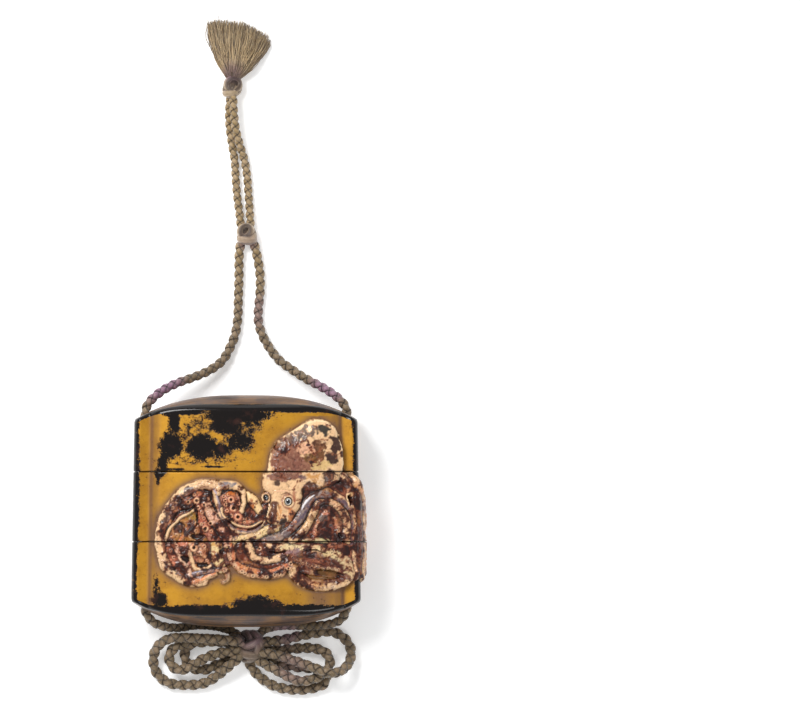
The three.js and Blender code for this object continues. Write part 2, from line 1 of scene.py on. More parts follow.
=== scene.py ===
"""Looks of a three-section inro case with a carved octopus, its silk cord, knots, bow and tassel.

The case lies on its back: X is its width, Y its height and +Z the carved front.
Shapes are worked out in millimetres and turned into metres when a mesh is made.
"""

import json
import math

import bpy
import numpy as np
from bpy.props import FloatProperty, FloatVectorProperty, PointerProperty
from mathutils import Vector
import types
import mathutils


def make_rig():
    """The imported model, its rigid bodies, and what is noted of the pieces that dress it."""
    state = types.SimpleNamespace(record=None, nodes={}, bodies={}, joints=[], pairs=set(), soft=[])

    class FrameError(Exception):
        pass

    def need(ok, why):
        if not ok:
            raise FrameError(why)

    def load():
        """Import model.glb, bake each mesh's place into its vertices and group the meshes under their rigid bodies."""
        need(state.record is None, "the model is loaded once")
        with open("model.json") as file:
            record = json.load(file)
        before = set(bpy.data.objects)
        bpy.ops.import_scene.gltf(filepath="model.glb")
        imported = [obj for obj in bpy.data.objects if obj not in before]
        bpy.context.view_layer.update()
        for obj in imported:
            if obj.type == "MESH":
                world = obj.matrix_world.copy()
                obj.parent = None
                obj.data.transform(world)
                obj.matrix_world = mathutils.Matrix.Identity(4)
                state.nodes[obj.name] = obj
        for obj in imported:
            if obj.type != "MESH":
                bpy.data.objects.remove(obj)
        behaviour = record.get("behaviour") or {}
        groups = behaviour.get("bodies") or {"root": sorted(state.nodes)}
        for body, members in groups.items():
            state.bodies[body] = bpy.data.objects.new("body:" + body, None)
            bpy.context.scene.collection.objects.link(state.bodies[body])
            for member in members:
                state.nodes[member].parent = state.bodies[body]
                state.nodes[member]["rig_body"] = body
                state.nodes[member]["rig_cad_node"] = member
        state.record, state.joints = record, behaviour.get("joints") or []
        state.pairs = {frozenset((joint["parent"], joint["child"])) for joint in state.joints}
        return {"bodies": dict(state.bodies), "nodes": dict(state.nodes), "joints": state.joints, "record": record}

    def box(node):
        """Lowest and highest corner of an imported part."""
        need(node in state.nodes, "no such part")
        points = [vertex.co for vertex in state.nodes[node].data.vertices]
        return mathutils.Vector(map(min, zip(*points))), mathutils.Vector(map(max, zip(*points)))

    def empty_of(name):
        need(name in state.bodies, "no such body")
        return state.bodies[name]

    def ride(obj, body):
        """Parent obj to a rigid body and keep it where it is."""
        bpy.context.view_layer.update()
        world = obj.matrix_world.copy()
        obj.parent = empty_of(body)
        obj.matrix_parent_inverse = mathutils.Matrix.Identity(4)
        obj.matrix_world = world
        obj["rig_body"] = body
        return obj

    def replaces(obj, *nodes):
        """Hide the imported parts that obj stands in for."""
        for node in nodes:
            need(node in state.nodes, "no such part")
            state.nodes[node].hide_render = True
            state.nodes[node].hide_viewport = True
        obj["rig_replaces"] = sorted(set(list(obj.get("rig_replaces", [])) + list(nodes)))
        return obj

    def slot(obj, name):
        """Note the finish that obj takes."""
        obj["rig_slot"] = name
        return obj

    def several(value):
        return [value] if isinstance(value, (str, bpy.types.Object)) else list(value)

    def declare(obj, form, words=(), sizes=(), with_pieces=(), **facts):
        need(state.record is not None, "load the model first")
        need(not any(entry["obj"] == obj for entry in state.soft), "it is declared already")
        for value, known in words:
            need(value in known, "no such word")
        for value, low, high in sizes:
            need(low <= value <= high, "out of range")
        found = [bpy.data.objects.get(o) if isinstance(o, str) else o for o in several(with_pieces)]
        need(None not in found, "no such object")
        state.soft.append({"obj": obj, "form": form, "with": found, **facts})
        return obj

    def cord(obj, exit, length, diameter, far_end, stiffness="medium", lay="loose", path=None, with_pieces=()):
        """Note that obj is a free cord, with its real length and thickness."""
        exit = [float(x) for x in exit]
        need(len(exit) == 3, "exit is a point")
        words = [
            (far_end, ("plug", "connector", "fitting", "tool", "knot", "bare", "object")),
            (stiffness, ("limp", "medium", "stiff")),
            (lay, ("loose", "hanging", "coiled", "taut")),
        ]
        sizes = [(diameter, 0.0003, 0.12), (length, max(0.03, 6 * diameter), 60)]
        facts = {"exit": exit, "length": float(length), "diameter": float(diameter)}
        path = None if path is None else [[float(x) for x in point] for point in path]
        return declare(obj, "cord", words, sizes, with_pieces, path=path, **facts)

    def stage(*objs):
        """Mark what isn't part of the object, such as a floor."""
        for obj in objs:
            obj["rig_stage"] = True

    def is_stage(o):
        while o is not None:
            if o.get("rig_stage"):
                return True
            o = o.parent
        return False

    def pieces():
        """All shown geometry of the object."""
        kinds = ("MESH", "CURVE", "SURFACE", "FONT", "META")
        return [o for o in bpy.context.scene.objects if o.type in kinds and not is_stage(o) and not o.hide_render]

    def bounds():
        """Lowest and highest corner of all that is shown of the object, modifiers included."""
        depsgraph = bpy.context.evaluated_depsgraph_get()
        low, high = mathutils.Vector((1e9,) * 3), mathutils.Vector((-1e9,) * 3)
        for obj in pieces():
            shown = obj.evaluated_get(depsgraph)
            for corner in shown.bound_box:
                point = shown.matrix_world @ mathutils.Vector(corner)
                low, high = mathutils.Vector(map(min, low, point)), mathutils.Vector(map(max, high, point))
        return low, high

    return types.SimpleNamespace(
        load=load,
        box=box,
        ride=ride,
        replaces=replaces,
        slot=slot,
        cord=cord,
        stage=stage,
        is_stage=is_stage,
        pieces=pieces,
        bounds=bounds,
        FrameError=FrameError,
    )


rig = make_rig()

bl_info = {
    "name": "Inro Case",
    "version": (1, 0, 0),
    "blender": (4, 5, 0),
    "location": "View3D > Sidebar > Inro Case",
    "description": "Lacquer case in three sections, with its carving, silk cord, knots, bow and tassel",
    "category": "Object",
}

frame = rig.load()
CAD_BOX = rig.bounds()
MM = 0.001
LID_LOW, LID_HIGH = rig.box("lid")
CENTRE_X = (LID_LOW.x + LID_HIGH.x) / 2 / MM      # the case's own middle, in the frame


# ---- outline -----------------------------------------------------------
HALF_WIDTH, HALF_THICK, MID_Z = 34.0, 12.0, 12.7
TAPER, TAPER_REACH = 0.014, 27.0
PANEL_X, PANEL_DROP = 25.8, 1.8
VALLEY_X, VALLEY_DROP = 29.1, 1.9
CREST_X, CREST_RISE, CORNER_DEPTH = 32.1, 0.6, 2.5
SEAM_1, SEAM_2, GAP = 11.8, -9.2, 0.3


def front_z(x):
    """Half thickness of the case across its front: panel, flute and crest."""
    x = np.asarray(x, float)
    panel = HALF_THICK - PANEL_DROP * (x / PANEL_X) ** 2
    edge = HALF_THICK - PANEL_DROP
    lead = 2 * PANEL_DROP / PANEL_X * (VALLEY_X - PANEL_X)
    t = np.clip((x - PANEL_X) / (VALLEY_X - PANEL_X), 0, 1)
    roll = edge - lead * t - (VALLEY_DROP - lead) * t * t
    s = np.clip((x - VALLEY_X) / (CREST_X - VALLEY_X), 0, 1)
    crest = edge - VALLEY_DROP + CREST_RISE * s ** 1.7
    return np.where(x <= PANEL_X, panel, np.where(x <= VALLEY_X, roll, crest))


def quarter_outline():
    """A quarter of the outline, from the middle of the front to the end, with its distances."""
    xs = np.concatenate([np.arange(0, PANEL_X, 0.3), np.arange(PANEL_X, VALLEY_X, 0.15),
                         np.arange(VALLEY_X, CREST_X, 0.15), [CREST_X]])
    zs = front_z(xs)
    turn = np.radians(np.arange(6, 91, 6))
    xs = np.append(xs, CREST_X + (HALF_WIDTH - CREST_X) * np.sin(turn))
    zs = np.append(zs, zs[-1] - CORNER_DEPTH * (1 - np.cos(turn)))
    xs, zs = np.append(xs, HALF_WIDTH), np.append(zs, 0.0)
    along = np.append(0, np.cumsum(np.hypot(np.diff(xs), np.diff(zs))))
    return xs, zs, along


QX, QZ, QU = quarter_outline()
QUARTER = QU[-1]


def front(x):
    """Distance round the outline of a place on the front; back() and side() give the others."""
    return float(math.copysign(np.interp(min(abs(x), HALF_WIDTH - 0.001), QX, QU), x))


def back(x):
    return 2 * QUARTER - front(x)


def side(z):
    q = float(np.interp(-abs(z), -QZ, QU))
    return q if z > 0 else 2 * QUARTER - q


def on_front(*points):
    return [(front(x), y) for x, y in points]


def on_side(*points):
    return [(side(z), y) for z, y in points]


def on_back(*points):
    return [(back(x), y) for x, y in points]


def spline(points, steps, closed=False):
    """A smooth curve through points that doesn't overshoot where they are close."""
    pts = np.array(points, float)
    n = len(pts)
    out = []
    for i in range(n if closed else n - 1):
        p1, p2 = pts[i], pts[(i + 1) % n]
        p0 = pts[i - 1] if closed or i > 0 else 2 * p1 - p2
        p3 = pts[(i + 2) % n] if closed or i + 2 < n else 2 * p2 - p1
        d0, d1, d2 = (max(np.linalg.norm(b - a) ** 0.5, 1e-4) for a, b in ((p0, p1), (p1, p2), (p2, p3)))
        m1 = ((p1 - p0) / d0 - (p2 - p0) / (d0 + d1) + (p2 - p1) / d1) * d1
        m2 = ((p2 - p1) / d1 - (p3 - p1) / (d1 + d2) + (p3 - p2) / d2) * d1
        t = np.linspace(0, 1, steps, endpoint=False)[:, None]
        out.append(p1 + m1 * t + (3 * (p2 - p1) - 2 * m1 - m2) * t ** 2 + (2 * (p1 - p2) + m1 + m2) * t ** 3)
    if not closed:
        out.append(pts[-1:])
    return np.concatenate(out)


# ---- the raster --------------------------------------------------------
CELL = 0.1
ARM_GIRTH = 1.16       # arms press against each other
PAINT_DEPTH = 1.28     # power that deepens the paint
U_LOW, U_HIGH, Y_LOW, Y_HIGH = -30.0, 98.0, -25.0, 29.0
US = np.arange(U_LOW, U_HIGH, CELL, dtype=np.float32)
YS = np.arange(Y_LOW, Y_HIGH, CELL, dtype=np.float32)
UU, YY = np.meshgrid(US, YS)


def colour(r, g, b):
    """A colour from 0 to 255 turned into linear light."""
    c = np.array([r, g, b], np.float32) / 255
    return np.where(c <= 0.04045, c / 12.92, ((c + 0.055) / 1.055) ** 2.4).astype(np.float32)


CREAM = (240, 204, 164)
PALE = (255, 228, 190)
ROSE = (222, 148, 118)
BROWN = (112, 66, 52)
DARK = (52, 34, 34)
PLUM = (128, 104, 110)
OCHRE = (196, 148, 82)
SUCKER_RING = (240, 182, 148)
SUCKER_PIT = (84, 34, 30)
SUCKER_TRENCH = (112, 52, 42)
SADDLE = (156, 108, 90)


def step(low, high, value):
    """A smooth rise from 0 to 1 between two values."""
    t = np.clip((value - low) / (high - low), 0, 1)
    return t * t * (3 - 2 * t)


def blend(under, tone, share):
    """A tone laid over what is there, by a share from 0 to 1 at each place."""
    share = share[..., None]
    return under * (1 - share) + colour(*tone) * share


def run_along(points):
    """How far along a path each of its points is."""
    return np.append(0, np.cumsum(np.linalg.norm(np.diff(points, axis=0), axis=1)))


def unit(vectors):
    return vectors / np.linalg.norm(vectors, axis=1, keepdims=True)


def blur(field, radius):
    """A raster softened by a bell curve of a radius in millimetres."""
    rows, cols = field.shape
    fy = np.fft.fftfreq(rows)[:, None]
    fx = np.fft.rfftfreq(cols)[None, :]
    gauss = np.exp(-2 * (np.pi * radius / CELL) ** 2 * (fx ** 2 + fy ** 2))
    return np.fft.irfft2(np.fft.rfft2(field) * gauss, s=field.shape).astype(np.float32)


def noise(size, seed, detail=3):
    """A raster of soft blotches of a size in millimetres, spread evenly round 0."""
    draw = np.random.default_rng(seed)
    total = np.zeros(UU.shape, np.float32)
    for octave in range(detail):
        layer = blur(draw.standard_normal(UU.shape).astype(np.float32), size / 2.2 / 2 ** octave)
        total += layer / layer.std() * 0.6 ** octave
    return total / total.std()


class Carving:
    """The carved octopus as rasters of height, paint and mottling over the unrolled case."""

    def __init__(self):
        self.height = np.zeros(UU.shape, np.float32)
        self.paint = np.zeros(UU.shape + (3,), np.float32) + colour(*CREAM)
        self.mottle = np.full(UU.shape, 0.3, np.float32)
        self.suckers = []
        self.draw = np.random.default_rng(12)
        self.warp = noise(1.6, 3), noise(1.6, 4)
        self.sway = noise(3.2, 8, 2), noise(3.2, 9, 2)
        self.grain = noise(0.9, 5, 4)
        self.blotch = noise(1.9, 6, 4)

    def window(self, points, reach):
        """The block of cells round some points."""
        points = np.asarray(points)
        low, high = points.min(0) - reach, points.max(0) + reach
        c0, c1 = np.clip(((low[0] - U_LOW) / CELL, (high[0] - U_LOW) / CELL + 1), 0, len(US)).astype(int)
        r0, r1 = np.clip(((low[1] - Y_LOW) / CELL, (high[1] - Y_LOW) / CELL + 1), 0, len(YS)).astype(int)
        return np.s_[r0:r1, c0:c1]

    def near(self, path, at):
        """Distance to a path, signed side of it, and the share along it."""
        u, y = UU[at] + 0.16 * self.sway[0][at], YY[at] + 0.16 * self.sway[1][at]
        best = np.full(u.shape, 1e9, np.float32)
        cross, share = np.zeros_like(best), np.zeros_like(best)
        count = len(path) - 1
        for i in range(count):
            (au, ay), (bu, by) = path[i], path[i + 1]
            eu, ey = bu - au, by - ay
            t = np.clip(((u - au) * eu + (y - ay) * ey) / (eu * eu + ey * ey + 1e-9), 0, 1)
            du, dy = u - au - t * eu, y - ay - t * ey
            away = np.hypot(du, dy)
            closer = away < best
            best = np.where(closer, away, best)
            turn = (eu * (y - ay) - ey * (u - au)) / (math.hypot(eu, ey) + 1e-9)
            cross = np.where(closer, np.sign(turn) * away, cross)
            share = np.where(closer, (i + t) / count, share)
        return best, cross, share

    def spot(self, *rows):
        """Single suckers: place across the front, height and radius."""
        self.suckers += [(front(x), y, r) for x, y, r in rows]

    def lay(self, at, height, paint, mottle):
        """Puts a form down where it stands higher than what is there."""
        wins = height > self.height[at]
        self.height[at] = np.where(wins, height, self.height[at])
        self.paint[at] = np.where(wins[..., None], paint, self.paint[at])
        self.mottle[at] = np.where(wins, mottle, self.mottle[at])

    def arm(self, points, radii, heights, back=CREAM, belly=None, belly_side=1, mottle=0.3, level=0.0,
            cups=None, rim=True, flat=2.0):
        path = spline(points, 5)
        at = self.window(path, max(radii) + 0.3)
        away, cross, share = self.near(path, at)
        radius = (radii[0] + (radii[1] - radii[0]) * share) * ARM_GIRTH
        tall = heights[0] + (heights[1] - heights[0]) * share
        c = np.clip(away / radius, 0, 1)
        height = np.where(c < 1, level + (tall - level) * (1 - c ** flat) ** 0.5, 0)
        over = cross / radius * belly_side
        paint = np.broadcast_to(colour(*back), height.shape + (3,))
        if belly is not None:
            paint = blend(paint, belly, step(0.0, 0.3, over + 0.12 * self.grain[at]))
        # painted highlight: a pale band along the arm's side away from its belly
        if rim:
            paint = blend(paint, PALE, step(0.45, 0.9, -over) * 0.7)
        self.lay(at, height, paint, mottle)
        if cups:
            self.cup_row(path, radii, belly_side, *cups)

    def cup_row(self, path, radii, turn, size, offsets, start, end, pitch=2.15):
        """Suckers in rows along an arm, smaller towards its tip."""
        lengths = run_along(path)
        total = lengths[-1]
        for row, offset in enumerate(offsets):
            place = start * total + row * size * pitch / 2
            while place < end * total:
                share = place / total
                p = np.array([np.interp(place, lengths, path[:, i]) for i in (0, 1)])
                q = np.array([np.interp(min(place + 0.3, total), lengths, path[:, i]) for i in (0, 1)])
                d = (q - p) / (np.linalg.norm(q - p) + 1e-9)
                radius = radii[0] + (radii[1] - radii[0]) * share
                grow = size * (radius / max(radii)) ** 0.7
                p = p + np.array([-d[1], d[0]]) * turn * offset * radius + self.draw.normal(0, 0.07, 2)
                if self.draw.random() < 0.9:
                    self.suckers.append((p[0], p[1], grow * self.draw.uniform(0.78, 1.2)))
                place += grow * pitch * self.draw.uniform(0.9, 1.15)

    def mass(self, points, height, shoulder, paint=CREAM, mottle=0.3, rim=0.0):
        edge = spline(points, 5, closed=True)
        at = self.window(edge, 0.3)
        away, inside = self.depth(edge, at)
        rise = np.clip(away / shoulder, 0, 1)
        tall = np.where(inside, height * np.sqrt(rise * (2 - rise)), 0)
        paint = np.broadcast_to(colour(*paint), tall.shape + (3,))
        if rim:
            paint = blend(paint, PALE, 1 - step(rim * 0.6, rim, away))
        self.lay(at, tall, paint, mottle)

    def depth(self, edge, at):
        """Distance to a closed edge, and what is inside it."""
        loop = np.vstack([edge, edge[:1]])
        away, _, _ = self.near(loop, at)
        u, y = UU[at], YY[at]
        inside = np.zeros(u.shape, bool)
        for (au, ay), (bu, by) in zip(loop[:-1], loop[1:]):
            if ay != by:
                inside ^= ((ay > y) != (by > y)) & (u < au + (y - ay) / (by - ay) * (bu - au))
        return away, inside

    def oval(self, middle, half, margin, rough, turn):
        """The cells round a rough-edged oval, and how far out each is: 1 at its edge."""
        at = self.window([middle], max(half) + margin)
        du = UU[at] + rough * self.warp[0][at] - middle[0]
        dy = YY[at] + rough * self.warp[1][at] - middle[1]
        cos, sin = math.cos(math.radians(turn)), math.sin(math.radians(turn))
        return at, np.hypot((du * cos + dy * sin) / half[0], (dy * cos - du * sin) / half[1])

    def paint_on(self, at, tone, share):
        self.paint[at] = blend(self.paint[at], tone, share)

    def patch(self, x, y, ru, ry, tone, strength=1.0, soft=0.16, rough=0.4, turn=0.0, mottle=None):
        """A patch of paint with an uneven edge."""
        at, out = self.oval((front(x), y), (ru, ry), 2, rough, turn)
        share = (1 - step(1 - soft, 1 + soft, out * 0.88 + 0.1 * self.grain[at])) * strength
        self.paint_on(at, tone, share)
        if mottle is not None:
            self.mottle[at] = self.mottle[at] * (1 - share) + mottle * share

    def streak(self, points, width, tone, strength=1.0, rise=0.0, rough=0.15):
        """A painted line that thins at its ends, and may stand up or sink in."""
        path = spline(on_front(*points), 5)
        at = self.window(path, width + 1.2)
        away, _, share = self.near(path, at)
        taper = np.sqrt(np.clip(4 * share * (1 - share), 0.15, 1))
        inside = 1 - step(0.5, 1.15, away / width / taper + rough * self.grain[at])
        self.paint_on(at, tone, inside * strength)
        self.height[at] += rise * inside * (self.height[at] > 0.3)

    def hollow(self, x, y, ru, ry, floor, tone=DARK, turn=0.0, rough=0.2):
        """An opening cut down to a floor."""
        at, out = self.oval((front(x), y), (ru, ry), 1.2, rough, turn)
        inside = 1 - step(0.6, 1.15, out)
        low = np.minimum(self.height[at], floor)
        self.height[at] = self.height[at] * (1 - inside) + low * inside
        self.paint_on(at, tone, inside)

    def sucker(self, u, y, r):
        """A raised ring round a pit, with a trench round both."""
        at = self.window([(u, y)], r * 1.6)
        d = np.hypot(UU[at] - u, YY[at] - y) / r
        here = self.height[at] > 0.25
        ring = np.exp(-((d - 0.7) / 0.28) ** 2) * here
        pit = (1 - step(0.22, 0.58, d)) * here
        self.height[at] += (0.36 * ring - 0.34 * pit) * min(r, 1.0)
        # painted highlight: the pale ring is made paler on its upper left side, towards the light
        upper_side = step(-0.3, 0.6, (UU[at] - u) * -0.5 + (YY[at] - y) * 0.8)
        trench = np.exp(-((d - 1.25) / 0.24) ** 2) * here
        self.paint_on(at, SUCKER_RING, ring * (0.55 + 0.4 * upper_side))
        self.paint_on(at, SUCKER_PIT, pit * 0.92)
        self.paint_on(at, SUCKER_TRENCH, trench * 0.6)
        self.mottle[at] *= 1 - 0.6 * (d < 1.1)


def carve(form):
    """The whole octopus, from the body under the arms to the painted areas."""
    form.mass([*on_front((-26.9, -9), (-26.6, -4.5), (-25.2, -0.8), (-22.8, 3), (-20.4, 6.6), (-14, 8.8),
            (-7, 9), (-2.6, 8.4), (-0.4, 5.4), (1.6, 4.4), (4.2, 2.4), (6, 4), (9, 6), (27, 8.5),
            (30.5, 10.8), (32.8, 7.2)), *on_side((5, 4.4), (0, 5), (-5, 4)), *on_back((31.5, 3.6),
            (31.5, -17)), *on_side((-5, -19.5), (0, -20.4), (6, -21)), *on_front((31.5, -20), (26, -20),
            (14.6, -19.2), (9, -18.2), (2, -18.4), (-4.6, -16.6), (-6.6, -18), (-12, -20.2), (-17, -21.8),
            (-22.4, -19.2), (-25.8, -15.6))], 1.15, 1.5, paint=(150, 100, 80), mottle=0.55)
    left_coils(form)
    middle_arms(form)
    right_arms(form)
    back_arms(form)
    head(form)
    for place in form.suckers:
        form.sucker(*place)
    paint_and_highlights(form)


def left_coils(form):
    """The coil left of the face, above and below the lower seam."""
    # the broad outer arm
    form.arm(on_front((-9.4, 7.2), (-13.6, 7.4), (-18, 5.8), (-21.2, 2.4), (-23.9, -1.8), (-25.3, -6.4),
            (-25.2, -11.6), (-23.6, -16.4), (-20.2, -19.6), (-16, -21), (-12.6, -20.6)), (1.75, 1.4),
            (2.1, 1.5), belly=(150, 96, 74), belly_side=1, mottle=0.24)
    form.mass(on_front((-24, -9.6), (-14, -9.4), (-11.4, -13), (-9.6, -18.8), (-14, -20), (-20, -18.8),
            (-23.6, -14.6)), 1.35, 1.0, paint=ROSE, mottle=0.6)
    # inner arm with its row of suckers, and the pointed window below it
    form.arm(on_front((-13.6, 3.2), (-16.6, 3.4), (-19.4, 2.3), (-21.6, -0.6), (-23.4, -3.6)), (1.6, 1.0),
            (1.75, 1.4), back=(214, 150, 112), mottle=0.5, rim=False)
    form.mass(on_front((-15.4, 0.4), (-12.6, -4), (-10.4, -9.2), (-24, -9.4), (-23, -5),
            (-20, -1.4)), 1.2, 0.8, paint=(186, 132, 70), mottle=0.3)
    form.arm(on_front((-24.1, -8.8), (-22.3, -4.6), (-19.4, -2.2), (-16.4, -0.1), (-14.9, 1.2)), (0.6, 0.5),
            (1.75, 1.7), mottle=0.15)
    form.arm(on_front((-14.9, -3.4), (-17.2, -5.6), (-19.8, -8.9)), (0.75, 0.6), (1.6, 1.4),
            back=(214, 140, 92), mottle=0.3, rim=False)
    # reddish arm thick with suckers, fleshy on its right
    form.arm(on_front((-12.6, 3), (-10.6, -0.6), (-8.6, -3.4), (-6.4, -6.6), (-5.4, -9)), (1.7, 2.3),
            (1.9, 1.8), back=(232, 186, 160), mottle=0.3)
    form.arm(on_front((-14.8, 4.6), (-13.8, 1.6), (-13.1, -1.6), (-12.3, -4.8), (-10.6, -7.6), (-8.8, -9.2)),
            (1.9, 1.7), (1.95, 1.85), back=(208, 132, 104), mottle=0.45, rim=False)
    form.spot((-21.8, 0.9, 0.5), (-20.5, 2.8, 0.62),
            (-19.1, 3.5, 0.5), (-19.4, 0.9, 0.55), (-17.3, 2.6, 0.72), (-14.8, 3.1, 0.95),
            (-12.6, 1.9, 0.75), (-14.3, 1.0, 0.6), (-13.2, -0.4, 0.55), (-14.2, -1.9, 0.5),
            (-12.6, -2.2, 0.55), (-12.1, -5.2, 0.95), (-10.6, -3.7, 0.75), (-13.4, -3.9, 0.5),
            (-10.4, -6.1, 0.55), (-21.0, -1.3, 0.5), (-14.9, -6.0, 0.5), (-16.6, -7.5, 0.55),
            (-15.5, 4.9, 0.5), (-22.9, -1.9, 0.42), (-11.4, -0.6, 0.5))
    # crossed arms under the second seam
    form.arm(on_front((-25.8, -9.9), (-24.6, -13.2), (-22.8, -17.2), (-20.4, -19.4)), (1.25, 1.1),
            (1.8, 1.7), mottle=0.3)
    form.arm(on_front((-21.6, -9.6), (-20.2, -12.4), (-18.6, -15), (-17.2, -18), (-16.6, -20.8)),
            (1.15, 1.2), (1.75, 1.7), back=(236, 196, 172), mottle=0.4)
    form.arm(on_front((-16.9, -12.2), (-16.2, -15.2), (-15, -17.2), (-12.4, -17.6), (-10, -16.4)),
            (0.75, 0.9), (1.7, 1.6), mottle=0.25)
    form.mass(on_front((-17.6, -9.4), (-12.8, -9.4), (-11, -12), (-12, -14.4), (-14.6, -13.6),
            (-17.4, -12.2)), 1.8, 1.2, paint=(226, 170, 132), mottle=0.3)
    form.spot((-15.5, -11.0, 1.1), (-20.6, -10.4, 0.55),
            (-22.4, -12, 0.5), (-13.2, -12.9, 0.5), (-12.4, -10.6, 0.6), (-24.8, -15.2, 0.42),
            (-21.4, -14, 0.5), (-11.6, -14.9, 0.5), (-18.9, -19.6, 0.45), (-14.2, -18.9, 0.42))
    form.arm(on_front((-17.6, -19), (-14.4, -18.7), (-11.4, -18.8), (-8.8, -17.4)), (0.7, 0.8), (1.6, 1.75),
            back=(132, 114, 122), mottle=0.15)
    # pale knuckle with dark spots, the suckered edge and the hooked tip
    form.arm(on_front((-8.8, -9.4), (-8.7, -12.6), (-8.2, -15.2), (-7.6, -16.6)), (2.1, 1.8), (1.95, 1.7),
            back=(238, 214, 166), mottle=0.2)
    form.arm(on_front((-15.9, -21.4), (-12.2, -20.4), (-9.2, -18.7)), (0.85, 0.75), (1.7, 1.6),
            back=(232, 160, 112), belly=CREAM, belly_side=-1, mottle=0.15, cups=(0.42, (0.5,), 0.05, 1.0))
    form.arm(on_front((-9.2, -17.6), (-7, -17.2), (-5.5, -18.3), (-5.4, -20.3), (-7.1, -21.4)), (0.95, 0.7),
            (1.8, 1.5), back=(214, 176, 148), mottle=0.35)
    form.spot((-7.6, -20.3, 0.55), (-5.9, -19.5, 0.4), (-6.6, -18.2, 0.38))


def middle_arms(form):
    """The arch, and the arms between the face and the left coil."""
    # base of the arch, and the slender arms that follow it round to the right
    form.mass(on_front((-9.6, 4), (-6, 6), (-1.8, 5), (-0.6, 0), (2, -4), (-3, -8.6), (-7.4, -5)), 1.35, 1.0,
            paint=(222, 160, 132), mottle=0.35)
    form.arm(on_front((-9.6, 6.9), (-9.1, 4.4), (-8.3, 1.4), (-6.8, -1.8), (-4.4, -4.9), (-1.2, -6.2),
            (2.4, -5.9), (5.0, -4.4)), (1.05, 0.5), (1.9, 1.6), back=(132, 112, 118), belly=CREAM,
            belly_side=-1, mottle=0.2)
    form.arm(on_front((-7.4, 0.6), (-6.2, -1.8), (-3.9, -3.7), (-1, -4.5), (2.2, -4.2), (4.4, -2.9)),
            (0.42, 0.34), (1.95, 1.7), mottle=0.1)
    # the arch with its large suckers
    form.arm(on_front((-8.9, 5.4), (-8, 7.2), (-5.4, 7.9), (-2.6, 7.2), (-1.0, 5.2), (-0.7, 2.6),
            (-1.5, 0.2)), (1.35, 1.0), (2.2, 1.9), mottle=0.15)
    form.mass(on_front((-6.6, 6), (-4.2, 6.6), (-2.4, 4.6), (-1.7, 1), (0.4, -1.6), (3.2, -2.6), (2.2, -3.8),
            (-1.8, -4), (-4.9, -2.4), (-6.6, 0.6), (-7.3, 3.6)), 1.75, 1.5, paint=(216, 142, 112), mottle=0.3)
    form.spot((-4.5, 3.4, 1.0), (-3.8, 0.8, 1.08),
            (-2.4, -1.8, 1.08), (-6.2, 3.1, 0.6), (-6.7, 4.4, 0.5), (-6.1, 1.9, 0.6), (-2.2, 2.2, 0.5),
            (-5.7, 0.1, 0.55), (-0.3, -2.1, 0.6), (-0.5, -3.5, 0.4), (-4.3, -1.5, 0.5), (-5.2, 5, 0.55),
            (1.2, -2.9, 0.42), (-3.1, -3.1, 0.4))
    # pale leaf-shaped tip beside it
    form.mass(on_front((0.1, 5.8), (1.7, 5.5), (3.1, 4.4), (4.4, 2.6), (5.1, 0.9), (4.6, -0.6), (3.4, -0.9),
            (1.5, 0.6), (0.2, 2.4)), 1.95, 1.7, mottle=0.05, paint=(246, 214, 166))
    # arm that leaves the face and dips under the second seam, with its suckered outer edge
    form.arm(on_front((12, -3.6), (7.8, -5.2), (3.6, -7.0), (-0.6, -7.9), (-3.6, -8.9), (-4.9, -10.6)),
            (1.5, 1.3), (1.8, 1.75), back=(236, 208, 158), mottle=0.3)
    form.arm(on_front((-4.6, -9.8), (-4.4, -12.2), (-3.6, -15), (-1, -17.4), (2.2, -18.6), (6, -18.7),
            (9.2, -18.1), (11.6, -16.8), (12.4, -14.8)), (1.2, 1.75), (1.8, 1.9), back=(222, 144, 104),
            belly=(240, 196, 164), belly_side=-1, mottle=0.35, cups=(0.6, (0.62,), 0.18, 0.98))
    form.arm(on_front((-1.9, -9.6), (-1.7, -12.4), (0.3, -15), (3.5, -16.5), (7.5, -16.7), (10.8, -15.4)),
            (1.3, 1.2), (1.3, 1.35), back=(122, 62, 36), mottle=0.35, rim=False)
    form.arm(on_front((0.9, -9.6), (1.1, -12), (2.6, -14.1), (5.6, -14.8), (8.6, -14.4), (11.4, -12.8),
            (14, -11.6)), (1.3, 1.2), (1.9, 1.8), mottle=0.25)
    form.mass(on_front((5.2, -9.4), (8, -9.3), (12, -9.5), (11.4, -10.9), (9, -11.7), (7, -11.5)), 1.8, 1.0,
            mottle=0.1)
    form.spot((4.0, -11.3, 0.72))


